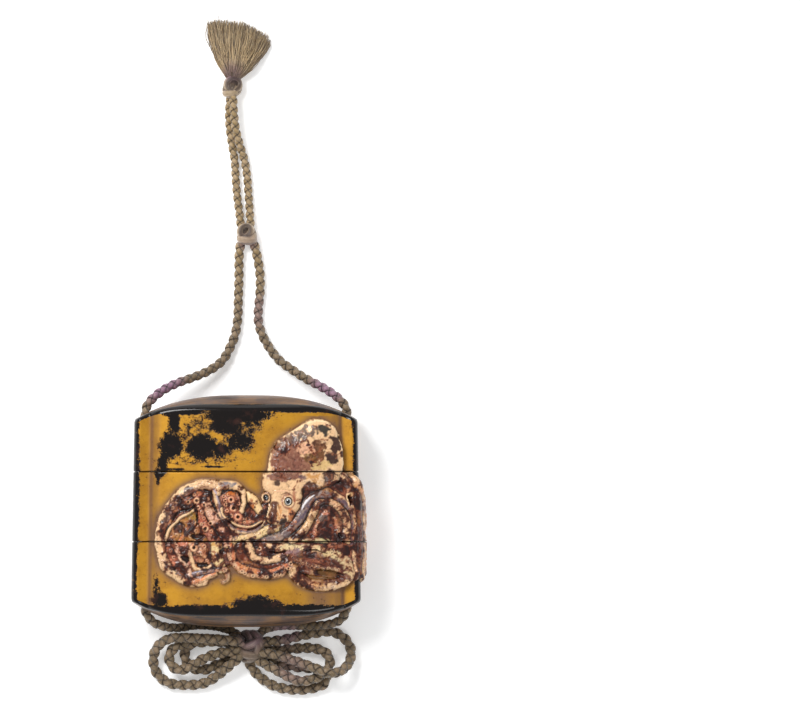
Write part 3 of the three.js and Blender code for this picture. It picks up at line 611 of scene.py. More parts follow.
def right_arms(form):
    """The arms and web that run round the right end."""
    form.arm(on_front((24.4, 5.2), (20.9, 4.2), (18.2, 1.9), (16.1, -2.3), (13.2, -5.5), (10, -7.5),
            (5.6, -9)), (1.75, 1.4), (2.0, 1.7), back=(136, 120, 122), mottle=0.22)
    # web under the arches
    form.mass(on_front((14.6, -8.9), (17.4, -4), (19.6, 1), (24, 2.6), (28, 0), (29.2, -5), (29.4, -9.4),
            (22, -9.6)), 1.0, 1.0, paint=(168, 118, 96), mottle=0.42)
    form.arm(on_front((13.8, -8.8), (17.6, -5.6), (19.4, -2.2), (21.4, 1.6), (24.8, 3), (27.9, 0.6),
            (29, -4), (29, -9)), (1.3, 1.2), (1.95, 1.75), back=(242, 204, 162), mottle=0.3)
    form.arm(on_front((20.1, -8.8), (21.6, -3.6), (24.2, -0.2), (26.4, -2.6), (27.2, -8)), (1.05, 1.0),
            (1.45, 1.35), back=ROSE, mottle=0.55, rim=False, cups=(0.42, (0.3,), 0.02, 0.98))
    form.mass(on_front((16.8, -8.4), (20.6, -7.7), (24.2, -8.3), (25, -9.3), (16.2, -9.3)), 1.7, 1.0,
            paint=(214, 202, 156), mottle=0.1)
    form.arm(on_front((26.2, 4.8), (28.9, 2.3), (30.3, -0.4), (30.7, -5), (30.3, -10)), (1.25, 1.2),
            (1.85, 1.6), back=PLUM, belly=CREAM, belly_side=1, mottle=0.45)
    form.arm(on_front((28.4, 10.4), (30.2, 7), (30.4, 3), (31.2, -4), (31.4, -12), (31.8, -19.4)),
            (1.6, 1.5), (1.7, 1.55), mottle=0.6, back=CREAM, belly=BROWN, belly_side=1)
    form.arm([*on_front((31.8, 9.2)), *on_side((6.6, 5), (5.6, 0), (5.6, -8), (6.2, -15), (6.4, -19.6))],
            (1.75, 1.7), (1.9, 1.5), mottle=0.5, cups=(0.55, (0.35,), 0.4, 0.98))
    form.arm([*on_side((2.4, 4), (1, -2), (0.6, -9), (2, -18))], (2.1, 2.0), (2.0, 1.8), mottle=0.35,
            belly=ROSE, belly_side=1, cups=(0.6, (0.3, 0.75), 0.25, 0.95))
    form.mass(on_front((11, -9.6), (22, -9.4), (30.6, -9.6), (31.4, -19), (28, -18), (20, -16.4),
            (12, -14)), 1.4, 1.0, paint=(176, 124, 100), mottle=0.42)
    # the broad arm under the second seam, its suckered edge and the open lip below
    form.arm(on_front((10.4, -11.2), (14, -11.9), (20, -12.1), (25.2, -13.4), (28.4, -15.8), (29.2, -18.6)),
            (2.1, 2.6), (2.0, 2.0), back=(230, 208, 166), belly=BROWN, belly_side=-1, mottle=0.3)
    form.arm(on_front((12.4, -13.4), (16.4, -14.6), (20.4, -16.2), (25, -17), (28, -17.6)), (1.45, 1.3),
            (1.6, 1.5), back=BROWN, mottle=0.6, rim=False, cups=(0.42, (-0.1, -0.7), 0.1, 0.95))
    form.arm(on_front((14.4, -17.2), (15, -19.6), (18, -21.6), (22.8, -22.4), (26.4, -21.9), (28.8, -20.4),
            (30, -18.6)), (1.7, 1.5), (1.8, 1.6), back=CREAM, belly=BROWN, belly_side=1, mottle=0.4)


def back_arms(form):
    """The two arms that lie over the back, and their base."""
    form.arm([*on_side((-4, -1)), *on_back((31, -3.6), (27.3, -3.9), (22.8, -2.1), (18.3, -1.8), (13.5, -3),
            (9.3, -3.4), (5.1, -2.5), (2.7, -2.4))], (2.5, 1.5), (1.7, 1.2), back=CREAM, belly=ROSE,
            belly_side=-1, mottle=0.3, cups=(0.5, (0.25, 0.68), 0.25, 0.9))
    form.arm([*on_side((-3, -5)), *on_back((29, -6.4), (24.9, -6.5), (21, -8.6), (17.7, -10.8), (14, -13.2),
            (10.2, -15.6), (6.7, -16.7), (3.4, -15.7), (-0.3, -13.8), (-4.2, -12.3), (-7.5, -12.3))],
            (2.5, 1.5), (1.7, 1.2), back=PLUM, belly=CREAM, belly_side=-1, mottle=0.25, cups=(0.42,
            (0.45, 0.8), 0.2, 0.9))
    form.arm([*on_side((-5, 1.6)), *on_back((31, -9), (29.5, -15.6))], (2.6, 1.6), (1.6, 1.3), mottle=0.4)
    form.arm(on_back((24, -8.4), (27.6, -9.4), (30.4, -12.4)), (1.3, 1.2), (1.6, 1.4), belly=ROSE,
            belly_side=1, mottle=0.4, cups=(0.42, (0.4,), 0.1, 0.95))


def head(form):
    """The mantle, the face and the eye sockets."""
    form.mass(on_front((6.4, 10.6), (6.6, 12.9), (7.4, 17.4), (9, 20.5), (11.4, 22.5), (14.4, 24.3),
            (17.4, 26.2), (19.2, 27.3), (21.6, 27.7), (24.3, 27.1), (26.3, 25.8), (27.6, 23.6), (28.1, 21),
            (28.6, 16.8), (28.5, 12.9), (28.2, 11), (27.6, 8.8), (25.4, 6.9), (21.3, 5.2), (17, 5.4),
            (11, 7)), 2.7, 6.5, mottle=-0.12, rim=1.0)
    form.mass(on_front((5.2, 11.2), (4.95, 8.4), (5.3, 5.9), (6.8, 4.4), (6.3, 1), (5.9, -2.6), (8, -4.5),
            (11, -4.6), (13.6, -3.6), (15.2, -1), (16.7, 1.2), (17, 3.4), (17.4, 5.6), (19, 9),
            (14, 11.4)), 2.5, 2.9, mottle=-0.08)
    # sockets with raised rims round the eyes
    for x, y, r in ((12.75, 2.85, 1.45), (6.0, 4.05, 1.1)):
        at = form.window([(front(x), y)], 4)
        d = np.hypot((UU[at] - front(x)) / r, (YY[at] - y) / (r * 1.12))
        lip = np.exp(-((d - 1.0) / 0.2) ** 2)
        dish = 1 - step(0.62, 0.92, d)
        raised = np.maximum(form.height[at], 1.5 * (d < 1.3)) + 0.2 * lip
        form.height[at] = raised * (1 - dish) + 1.35 * dish
        # painted shade: a brown ring at the foot of the raised lip, and the sunken dish painted dark where it shows
        # round the eye inlay
        form.paint_on(at, (150, 84, 64), np.exp(-((d - 1.25) / 0.22) ** 2) * 0.75)
        form.paint_on(at, DARK, 1 - step(0.7, 0.9, d))
        form.mottle[at] *= step(1.0, 1.5, d)


def paint_and_highlights(form):
    """Painted areas and a few painted highlights, from the mantle down to the lowest arms."""
    # mantle: a brown saddle inside a pale border
    form.patch(12.4, 16.9, 4.9, 4.8, SADDLE, 0.95, turn=50, mottle=0.26)
    form.patch(16.4, 13.8, 6.4, 1.9, SADDLE, 0.9, mottle=0.24)
    form.patch(21.2, 17.4, 2.1, 3.6, (112, 70, 50), 0.95, turn=-24, mottle=0.3)
    form.patch(19.2, 15.4, 1.6, 1.5, (132, 98, 56), 0.85)
    form.patch(18.1, 18.7, 1.9, 1.6, (238, 190, 158), 0.95, rough=0.6)
    form.patch(16.6, 22.2, 4.6, 1.3, (118, 104, 100), 0.85, rough=0.8, turn=24, mottle=0.3)
    form.patch(11.2, 19.8, 1.5, 2.6, (132, 112, 102), 0.75, rough=0.8, turn=-30)
    form.patch(23.1, 24.5, 1.9, 1.1, (70, 68, 64), 0.95, rough=0.7, turn=-12)
    form.patch(26.4, 19.8, 1.15, 2.4, (76, 50, 48), 0.95, rough=0.55)
    form.patch(25.9, 15.6, 1.8, 1.9, (76, 50, 48), 0.95, rough=0.55)
    form.patch(22.4, 13.4, 3, 0.9, (236, 206, 150), 0.8, rough=0.5, mottle=0.15)
    # brow and cheek
    form.patch(11.6, 10.5, 4.8, 1.35, (150, 106, 92), 0.92, mottle=0.24, turn=2)
    form.patch(9.3, 8.4, 0.75, 1.0, (96, 72, 60), 0.95, rough=0.2)
    form.patch(16.8, 10.2, 1.3, 0.8, PLUM, 0.7, rough=0.5)
    form.patch(20, 10.2, 1.7, 1.0, (206, 150, 82), 0.75, rough=0.6)
    form.patch(24.6, 10.2, 1.7, 1.5, (84, 52, 48), 0.95, rough=0.3)
    form.patch(19.7, 6.4, 2.8, 1.8, (92, 56, 44), 0.95, turn=18, mottle=0.2)
    form.patch(24.4, 7.6, 3.0, 1.0, (150, 100, 62), 0.85, turn=16, mottle=0.4)
    # face
    form.patch(8.6, -0.3, 1.15, 2.9, (112, 70, 54), 0.95, turn=-6, rough=0.3)
    form.patch(10.3, -0.6, 0.7, 2.4, (236, 178, 124), 0.8, turn=8)
    form.patch(13.4, -1.9, 1.1, 2.0, (204, 128, 74), 0.85, turn=-18)
    form.patch(10.9, -4.1, 0.8, 2.4, (72, 52, 46), 0.95, turn=6, rough=0.3)
    form.patch(7.6, -6.1, 1.0, 1.2, (104, 58, 50), 0.9)
    form.patch(14.2, 4.6, 0.8, 1.5, (176, 100, 78), 0.6, turn=-20)
    form.streak(((6.9, 4.2), (6.7, 1.4), (5.9, -2.2), (4.4, -5)), 0.28, PALE, 0.9, rise=0.3)
    form.streak(((9.7, 2.4), (9.9, 0), (10.4, -2)), 0.22, CREAM, 0.8, rise=0.2)
    form.streak(((16.6, 1.6), (14.9, -1.4), (13, -3.9), (11.2, -5.4)), 0.3, (196, 116, 60), 0.85, rise=0.1)
    form.streak(((10.8, 4.9), (12.4, 5.3), (14.2, 4.6)), 0.2, (126, 66, 54), 0.8)
    form.streak(((8.2, 5.6), (11, 6.0), (13.6, 5.7)), 0.25, (240, 190, 160), 0.7, rise=0.15)
    # left coil: brown inside a pale rim
    form.patch(-16.6, 6.5, 1.7, 1.1, (92, 60, 56), 0.95, rough=0.4, turn=10)
    form.streak(((-24.6, -4.4), (-22.9, 0.2), (-20.9, 3.0), (-18.2, 4.9)), 0.85, (96, 64, 60), 0.92,
            rough=0.45)
    # painted shade: a dark brown line sunk in the crevice beside the grey arm
    form.streak(((-14.2, 6.2), (-12.4, 6.1), (-10.9, 4.9), (-9.9, 2.0), (-8.2, -0.3)), 0.5,
            (96, 54, 42), 0.9, rough=0.4, rise=-0.25)
    form.patch(-15, 5.4, 1.3, 0.6, (206, 128, 70), 0.8)
    form.streak(((-22.3, -2.9), (-19.6, -0.4), (-16.4, 1.0), (-14.9, 2.0)), 0.42, (74, 46, 50), 0.92,
            rise=-0.4)
    form.patch(-24.7, -3.3, 0.6, 0.6, DARK, 0.8)
    form.patch(-26, -7.0, 0.6, 1.0, (120, 90, 64), 0.9)
    form.hollow(-19.8, -4.9, 1.4, 2.1, 0.7, tone=(86, 54, 56), turn=-24)
    form.patch(-16.1, -2.2, 1.1, 1.5, (176, 140, 66), 0.85)
    form.streak(((-14.6, 0.4), (-14.7, -2), (-14.9, -4.6)), 0.35, (70, 48, 46), 0.9, rise=-0.4)
    form.hollow(-14.6, -7.5, 2.1, 1.1, 0.5, tone=DARK)
    form.patch(-8.4, -7.3, 2.0, 1.4, (186, 124, 110), 0.85, rough=0.5)
    form.patch(-9.4, -1.6, 1.4, 2.6, (240, 200, 178), 0.75, turn=24)
    # left coil under the seam
    form.patch(-22.2, -11.2, 1.1, 1.5, (132, 70, 46), 0.9, turn=-20)
    form.streak(((-24, -15.6), (-22, -17.4), (-20.2, -19.2)), 0.6, (84, 50, 46), 0.92, rough=0.4, rise=-0.3)
    form.patch(-20.6, -14.4, 0.7, 1.7, (96, 56, 52), 0.85, turn=20)
    form.hollow(-17.9, -14.2, 1.5, 1.1, 0.6, tone=(58, 46, 34), turn=-30)
    form.hollow(-12.9, -16.1, 2.0, 0.85, 0.6, tone=(66, 44, 56))
    form.patch(-12.2, -12.4, 1.2, 1.6, (176, 106, 84), 0.7)
    form.hollow(-7, -12.1, 1.1, 0.85, 0.9, tone=(96, 82, 60))
    form.patch(-7.4, -15.3, 0.8, 0.45, DARK, 0.9)
    form.patch(-9.9, -13.6, 0.5, 1.2, (160, 92, 62), 0.8)
    form.patch(-8.6, -10.3, 1.4, 0.6, (214, 160, 84), 0.7)
    form.hollow(-8, -19.1, 0.6, 0.7, 1.0, tone=DARK)
    # painted highlight: a bluish white line along the grey arm
    form.streak(((-16.4, -18.5), (-13.6, -18.2), (-11.2, -18.3)), 0.22, (196, 196, 214), 0.85, rise=0.1)
    # arch
    form.patch(-5.6, 7.9, 1.9, 0.8, (142, 136, 144), 0.92, rough=0.3)
    # painted highlight: a pale lavender line down the grey arm left of the arch
    form.streak(((-9.5, 6.7), (-9, 4.4), (-8.2, 2.0)), 0.3, (186, 176, 200), 0.8, rough=0.2)
    form.streak(((-3.3, 6.4), (-1.9, 5.2), (-1.4, 2.4)), 0.42, (92, 50, 36), 0.92, rough=0.3, rise=-0.3)
    form.patch(-4.2, 5.5, 1.1, 0.55, (216, 124, 52), 0.85)
    form.streak(((-6.6, -2.4), (-3.6, -4.5), (0, -5.3), (3.4, -4.6), (5.2, -3.4)), 0.28, (120, 66, 48), 0.9,
            rise=-0.35)
    form.patch(1.3, 1.6, 0.85, 1.6, (172, 98, 52), 0.95, turn=-24, rough=0.3)
    form.patch(1.7, 0.6, 0.4, 0.6, (226, 142, 76), 0.8)
    # web on the right
    form.patch(24, -3.6, 1.5, 2.4, (112, 104, 100), 0.85)
    form.patch(24.3, -5.6, 1.2, 1.0, (160, 100, 104), 0.7)
    form.hollow(30, 3.6, 0.6, 1.7, 0.5)
    form.patch(22.4, 1.6, 1.7, 0.75, (104, 58, 44), 0.95, turn=24)
    form.patch(19.2, -2.3, 0.8, 1.0, (110, 62, 46), 0.95)
    # painted highlight: a white line along the upper left edge of the grey arm that leaves the face
    form.streak(((20.6, 4.6), (18.1, 3.0), (16.6, 0.4)), 0.4, (244, 242, 246), 0.85)
    form.streak(((21, 3.2), (18.9, 1.5), (17.4, -0.8), (15, -3.8)), 0.45, (110, 98, 122), 0.7)
    form.patch(18.2, -8.1, 2.4, 0.7, (124, 62, 42), 0.9)
    form.hollow(27.6, -7.4, 0.7, 1.0, 0.6)
    # below the second seam on the right
    form.streak(((10.6, -12.6), (13.6, -11.9), (17.6, -12.4)), 0.8, (142, 114, 130), 0.85, rough=0.5)
    form.streak(((17, -11.7), (20.7, -12), (24.2, -12.7)), 0.25, (70, 50, 44), 0.9, rise=-0.4)
    form.streak(((12.4, -14.2), (17, -14.6), (22, -15.6), (26.4, -17.2)), 1.0, (108, 62, 52), 0.85, rough=0.6)
    form.hollow(24, -18.9, 3.7, 1.1, 0.3, tone=(124, 88, 60), turn=-8)
    form.streak(((19.8, -17.6), (23.9, -18.1), (28, -19.2)), 0.3, (40, 26, 20), 0.95, rise=-0.5)
    form.hollow(3, -10.6, 1.0, 0.9, 0.9, tone=(96, 60, 44))
    form.streak(((6.6, -11.9), (9.3, -12.3), (12, -11.6)), 0.25, DARK, 0.9, rise=-0.5)
    form.patch(9.3, -10, 1.5, 0.35, (110, 58, 44), 0.95, rough=0.2)


def finish(form):
    """Small folds and mottling, painted shade in crevices and painted highlights on ridges; gives the paint, the mask
    and the painted shade round the carving.
    """
    mask = step(0.12, 0.4, form.height)
    squiggle = noise(1.25, 31)
    lines = (1 - step(0.06, 0.24, np.abs(squiggle))) * step(0.12, 0.3, form.mottle)
    form.height += mask * (0.03 * form.grain + 0.07 * form.blotch - 0.1 * lines)
    soft = blur(form.height, 0.5)
    # painted shade: darker where the carving sits lower than its softened surroundings
    crevice_shade = np.clip((soft - form.height) / 0.24, 0, 1.3) * mask
    proud = np.clip((form.height - soft) / 0.3, 0, 1) * mask
    paint = form.paint
    for tone, seed, strength in ((ROSE, 21, 0.5), (OCHRE, 22, 0.45), (PLUM, 23, 0.35)):
        paint = blend(paint, tone, step(0.2, 1.4, noise(3.0, seed)) * strength * step(0.15, 0.45,
                form.mottle))
    field = 0.85 * form.blotch + 0.4 * form.grain + 2.3 * form.mottle
    for low, high, tone, strength in ((0.85, 1.1, (156, 90, 58), 0.75), (1.3, 1.5, (92, 46, 34), 0.95),
                                      (2.1, 2.4, DARK, 0.75)):
        paint = blend(paint, tone, step(low, high, field) * strength)
    # the mottling's lines, then the painted shade in the crevices
    for amount, tone in ((lines * 0.8, (98, 50, 38)), (crevice_shade * 1.1, (44, 22, 18))):
        paint = blend(paint, tone, np.clip(amount, 0, 0.96))
    # painted highlight: paler where the carving stands proud of its surroundings
    ridge_highlight = np.clip(proud * 0.7 * step(-1.2, 0.6, form.grain), 0, 0.65) * step(0.06, 0.36, paint[..., 0])
    paint = blend(paint, PALE, ridge_highlight)
    # painted shade on the gold ground round the foot of the carving
    relief_shade = blur((form.height > 0.2).astype(np.float32), 1.3) * (1 - mask)
    return paint ** PAINT_DEPTH, mask, np.clip(relief_shade * 2.3, 0, 1)


def carved_layers():
    """The carving as rasters: its height, where it is, its paint and the shade round it."""
    carving = Carving()
    carve(carving)
    paint, mask, relief_shade = finish(carving)
    return {"height": carving.height, "carved": mask, "paint": paint, "relief_shade": relief_shade}


# ------------------------------------------------------------------ shader building
def feed(tree, socket, value):
    """Links a socket to another one, or gives it a plain value."""
    if isinstance(value, bpy.types.NodeSocket):
        tree.links.new(value, socket)
    else:
        socket.default_value = value


def add_node(tree, kind, values=None, **settings):
    """A shader node with its settings, and its inputs linked or set."""
    node = tree.nodes.new(kind)
    for key, value in settings.items():
        setattr(node, key, value)
    for key, value in (values or {}).items():
        feed(tree, node.inputs[key], value)
    return node


def attribute(tree, name, kind="Fac"):
    return add_node(tree, "ShaderNodeAttribute", attribute_name=name).outputs[kind]


def math_node(tree, operation, a, b=0.0, clamp=False):
    return add_node(tree, "ShaderNodeMath", {0: a, 1: b}, operation=operation, use_clamp=clamp).outputs[0]


def mix(tree, share, a, b, kind="MIX"):
    values = {0: share, 6: a, 7: b}
    return add_node(tree, "ShaderNodeMix", values, data_type="RGBA", blend_type=kind).outputs[2]


def mix_numbers(tree, share, a, b):
    return add_node(tree, "ShaderNodeMix", {0: share, 2: a, 3: b}, data_type="FLOAT").outputs[0]


def ramp(tree, value, low, high, start=0.0, end=1.0):
    return add_node(tree, "ShaderNodeMapRange",
                    {"Value": value, "From Min": low, "From Max": high, "To Min": start, "To Max": end},
                    interpolation_type="SMOOTHSTEP").outputs[0]


def noise_at(tree, vector, scale, detail=3.0, rough=0.55):
    return add_node(tree, "ShaderNodeTexNoise",
                    {"Vector": vector, "Scale": scale, "Detail": detail, "Roughness": rough}).outputs["Fac"]


def tint(r, g, b):
    """A colour from 0 to 255 for a shader, in linear light."""
    return (*(float(v) for v in colour(r, g, b)), 1.0)


def new_group(name, inputs, outputs):
    tree = bpy.data.node_groups.new(name, "ShaderNodeTree")
    for label, kind, value in inputs:
        socket = tree.interface.new_socket(label, in_out="INPUT", socket_type=kind)
        if value is not None:
            socket.default_value = value
    for label, kind in outputs:
        tree.interface.new_socket(label, in_out="OUTPUT", socket_type=kind)
    return tree, tree.nodes.new("NodeGroupInput").outputs, tree.nodes.new("NodeGroupOutput").inputs


def grain_group():
    """Fine powdery grain: a value that varies at two sizes."""
    tree, given, result = new_group(
        "Fine Grain", [("Vector", "NodeSocketVector", None), ("Scale", "NodeSocketFloat", 2500.0),
                       ("Coarse Share", "NodeSocketFloat", 0.4)], [("Value", "NodeSocketFloat")])
    fine = noise_at(tree, given["Vector"], given["Scale"], 4.0, 0.65)
    coarse = noise_at(tree, given["Vector"], math_node(tree, "MULTIPLY", given["Scale"], 0.22), 3.0, 0.6)
    both = mix_numbers(tree, given["Coarse Share"], fine, coarse)
    tree.links.new(both, result["Value"])
    return tree


def fibre_group():
    """Silk fibres that run along a strand, from its own stored coordinates."""
    tree, given, result = new_group(
        "Silk Fibres", [("Across", "NodeSocketFloat", 7.0), ("Along", "NodeSocketFloat", 1.2)],
        [("Lines", "NodeSocketFloat"), ("Patches", "NodeSocketFloat")])
    place = attribute(tree, "fibre", "Vector")
    split = add_node(tree, "ShaderNodeSeparateXYZ", {0: place})
    across = math_node(tree, "MULTIPLY", split.outputs[0], given["Across"])
    over = math_node(tree, "MULTIPLY", split.outputs[1], given["Across"])
    along = math_node(tree, "MULTIPLY", split.outputs[2], given["Along"])
    stretched = add_node(tree, "ShaderNodeCombineXYZ", {0: across, 1: over, 2: along}).outputs[0]
    tree.links.new(noise_at(tree, stretched, 1.0, 3.0, 0.6), result["Lines"])
    tree.links.new(noise_at(tree, place, 0.35, 3.0, 0.6), result["Patches"])
    return tree


def use_group(tree, group, values):
    node = tree.nodes.new("ShaderNodeGroup")
    node.node_tree = group
    for key, value in values.items():
        feed(tree, node.inputs[key], value)
    return node.outputs


def new_material(name):
    material = bpy.data.materials.new(name)
    material.use_nodes = True
    tree = material.node_tree
    return material, tree, tree.nodes["Principled BSDF"]


def finish_with(tree, shader, inputs, height=None, distance=0.00005, strength=0.6):
    """Links or sets the shader's inputs, with a bump from a height."""
    for key, value in inputs.items():
        feed(tree, shader.inputs[key], value)
    if height is not None:
        bump = add_node(tree, "ShaderNodeBump",
                        {"Height": height, "Distance": distance, "Strength": strength})
        tree.links.new(bump.outputs[0], shader.inputs["Normal"])


def lacquer_material(settings, grain):
    """Gold ground worn through to black lacquer, with the painted carving over it."""
    material, tree, shader = new_material("gold_lacquer")
    place = add_node(tree, "ShaderNodeTexCoord").outputs["Object"]
    wear, shade = attribute(tree, "wear"), attribute(tree, "shade")
    carved, domed, seam_dark = attribute(tree, "carved"), attribute(tree, "domed"), attribute(tree, "seam_dark")
    paint = attribute(tree, "paint", "Color")
    speck = use_group(tree, grain, {"Vector": place, "Scale": 3400.0, "Coarse Share": 0.4})["Value"]
    powder = use_group(tree, grain, {"Vector": place, "Scale": 5200.0, "Coarse Share": 0.25})["Value"]
    cloud = noise_at(tree, place, 160.0, 4.0, 0.6)
    # wear: the stored amount broken up by three sizes of noise
    clots = noise_at(tree, place, 620.0, 3.0, 0.6)
    broken = math_node(tree, "ADD", math_node(tree, "MULTIPLY", speck, settings.wear_grain),
                       math_node(tree, "MULTIPLY", cloud, 0.6))
    broken = math_node(tree, "ADD", broken, math_node(tree, "MULTIPLY", clots, 1.0))
    level = math_node(tree, "SUBTRACT", math_node(tree, "ADD", wear, broken),
                      settings.wear_grain / 2 + 0.8)
    worn = ramp(tree, level, 0.4, 0.5)
    rubbed = ramp(tree, level, 0.2, 0.42)
    gold = mix(tree, ramp(tree, cloud, 0.35, 0.65), (*settings.gold, 1), (*settings.gold_deep, 1))
    gold = mix(tree, ramp(tree, powder, 0.42, 0.62, 0.0, 0.35), gold, tint(214, 162, 62))
    gold = mix(tree, math_node(tree, "MULTIPLY", rubbed, 0.4), gold, tint(136, 84, 32))
    # painted shade: the gold turns mauve brown round the carving and in the flutes
    mauve = mix(tree, ramp(tree, powder, 0.4, 0.6), tint(122, 92, 78), tint(100, 72, 56))
    gold = mix(tree, math_node(tree, "MULTIPLY", shade, 0.88), gold, mauve)
    # the domed ends: a darker brown gold with dark streaks along the width
    stretch = add_node(tree, "ShaderNodeMapping", {"Vector": place, "Scale": (48.0, 900.0, 900.0)}).outputs[0]
    streak = noise_at(tree, stretch, 1.0, 4.0, 0.62)
    dome_tone = mix(tree, ramp(tree, cloud, 0.36, 0.64), tint(124, 86, 46), tint(90, 66, 52))
    dome_tone = mix(tree, ramp(tree, streak, 0.42, 0.62, 0.0, 0.5), dome_tone, tint(60, 44, 38))
    dome_tone = mix(tree, ramp(tree, streak, 0.55, 0.6, 0.0, 0.75), dome_tone, tint(36, 27, 25))
    gold = mix(tree, domed, gold, dome_tone)
    black = mix(tree, ramp(tree, cloud, 0.56, 0.76), (*settings.lacquer, 1), tint(58, 34, 28))
    ground = mix(tree, worn, gold, black)
    flecks = ramp(tree, powder, 0.55, 0.66, 0.0, 0.5)
    skin = mix(tree, flecks, paint, mix(tree, 1.0, paint, tint(150, 98, 84), "MULTIPLY"))
    base = mix(tree, carved, ground, skin)
    # darker near the seams, towards a near-black brown
    base = mix(tree, math_node(tree, "MULTIPLY", seam_dark, 0.85), base, tint(24, 16, 12))
    plain = math_node(tree, "SUBTRACT", 1.0, carved, True)
    metal = math_node(tree, "MULTIPLY", math_node(tree, "SUBTRACT", 1.0, worn, True), plain)
    metal = math_node(tree, "MULTIPLY", metal, ramp(tree, shade, 0.0, 1.0, settings.gold_metal, 0.12))
    rough = ramp(tree, worn, 0.0, 1.0, settings.gold_rough, 0.13)
    rough = mix_numbers(tree, carved, rough, 0.33)
    height = math_node(tree, "SUBTRACT", math_node(tree, "MULTIPLY", powder, 0.6), worn)
    finish_with(tree, shader, {"Base Color": base, "Metallic": metal, "Roughness": rough,
                               "Coat Weight": ramp(tree, carved, 0.0, 1.0, 0.08, 0.25)},
                height, 0.00003, 0.5)
    shader.inputs["Coat Roughness"].default_value = 0.12
    shader.inputs["Specular IOR Level"].default_value = 0.26
    return material


def silk_material(name, fibres, tones, across, along, sheen, rough):
    """Silk from a dull to a pale pair of tones that turns to plum in places, with painted shade where it dips under
    and along strand edges.
    """
    material, tree, shader = new_material(name)
    fibre = use_group(tree, fibres, {"Across": across, "Along": along})
    plum, pale, deep = attribute(tree, "plum"), attribute(tree, "pale"), attribute(tree, "deep")
    patches = ramp(tree, fibre["Patches"], 0.38, 0.62)
    dull = mix(tree, patches, tint(*tones["dull"]), tint(*tones["dull_2"]))
    light = mix(tree, patches, tint(*tones["pale"]), tint(*tones["pale_2"]))
    base = mix(tree, pale, dull, light)
    base = mix(tree, plum, base, tint(*tones["plum"]))
    base = mix(tree, ramp(tree, fibre["Lines"], 0.55, 0.7, 0.0, 0.5), base, tint(*tones["high"]))
    base = mix(tree, ramp(tree, fibre["Lines"], 0.42, 0.3, 0.0, 0.6), base, tint(*tones["dark"]))
    # painted shade where a strand dips under others, along strand edges and on the tassel core; on tassel fibres also
    # a random darker tone
    base = mix(tree, ramp(tree, deep, 0.08, 0.85, 0.0, 0.95), base, tint(*tones["dark"]))
    finish_with(tree, shader, {"Base Color": base, "Roughness": rough}, fibre["Lines"], 0.00012, 0.8)
    shader.inputs["Sheen Weight"].default_value = sheen
    shader.inputs["Sheen Roughness"].default_value = 0.4
    return material


def eye_material():
    """Pearl ring, grey iris and black pupil under a clear gloss, from the stored ring."""
    material, tree, shader = new_material("eye_inlay")
    ring = attribute(tree, "ring")
    tone = mix(tree, ramp(tree, ring, 0.34, 0.44), tint(14, 14, 18), tint(92, 98, 104))
    tone = mix(tree, ramp(tree, ring, 0.54, 0.64), tone, tint(206, 206, 198))
    tone = mix(tree, ramp(tree, ring, 0.76, 0.88), tone, tint(70, 54, 48))
    finish_with(tree, shader, {"Base Color": tone, "Roughness": 0.12})
    shader.inputs["Coat Weight"].default_value = 0.8
    shader.inputs["Coat Roughness"].default_value = 0.04
    return material


def floor_material(shade):
    material, tree, shader = new_material("pale_floor")
    finish_with(tree, shader, {"Base Color": (shade, shade, shade * 0.995, 1), "Roughness": 0.9,
                               "Emission Color": (1.0, 1.0, 1.0, 1.0), "Emission Strength": 0.3})
    return material


# ------------------------------------------------------------------ meshes
def raw_mesh(name, points, quads=(), tris=()):
    """A mesh from points in the case's millimetres, four-sided and three-sided faces."""
    quads = np.asarray(quads, np.int32).reshape(-1, 4)
    tris = np.asarray(tris, np.int32).reshape(-1, 3)
    corners = np.concatenate([quads.ravel(), tris.ravel()])
    starts = np.concatenate([np.arange(len(quads)) * 4, len(quads) * 4 + np.arange(len(tris)) * 3])
    placed = (np.asarray(points, float) + [CENTRE_X, 0, 0]) * MM
    mesh = bpy.data.meshes.new(name)
    mesh.vertices.add(len(placed))
    mesh.vertices.foreach_set("co", placed.astype(np.float32).ravel())
    mesh.loops.add(len(corners))
    mesh.loops.foreach_set("vertex_index", corners.astype(np.int32))
    mesh.polygons.add(len(starts))
    mesh.polygons.foreach_set("loop_start", starts.astype(np.int32))
    mesh.update(calc_edges=True)
    mesh.validate()
    return mesh


def set_attribute(mesh, name, values):
    """Stores one number, three numbers or a colour at each point."""
    values = np.asarray(values, np.float32)
    kinds = {1: ("FLOAT", "value"), 3: ("FLOAT_VECTOR", "vector"), 4: ("FLOAT_COLOR", "color")}
    kind, field = kinds[1 if values.ndim == 1 else values.shape[1]]
    attribute = mesh.attributes.new(name, kind, "POINT")
    attribute.data.foreach_set(field, values.ravel())


def new_object(name, data):
    """Puts a thing in the scene."""
    thing = bpy.data.objects.new(name, data)
    bpy.context.scene.collection.objects.link(thing)
    return thing


def add_piece(name, mesh, material, slot, stands_for=()):
    """Puts a finished mesh in the scene as a piece of the object."""
    mesh.materials.clear()
    mesh.materials.append(material)
    mesh.shade_smooth()
    piece = new_object(name, mesh)
    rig.ride(piece, "root")
    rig.replaces(piece, *stands_for)
    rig.slot(piece, slot)
    return piece


def fill_ring(ring):
    """Triangles between the two long sides of a ring, so that a domed end keeps its curve."""
    across = ring[:, 0]
    right = int(np.argmax(across))
    ahead = behind = int(np.argmin(across))
    count = len(ring)
    faces = []
    while ahead != right or behind != right:
        next_ahead, next_behind = (ahead + 1) % count, (behind - 1) % count
        go_ahead = behind == right or (ahead != right and across[next_ahead] <= across[next_behind])
        face = (ahead, next_ahead, behind) if go_ahead else (ahead, next_behind, behind)
        if len(set(face)) == 3:
            faces.append(face)
        if go_ahead:
            ahead = next_ahead
        else:
            behind = next_behind
    return np.array(faces, np.int32)


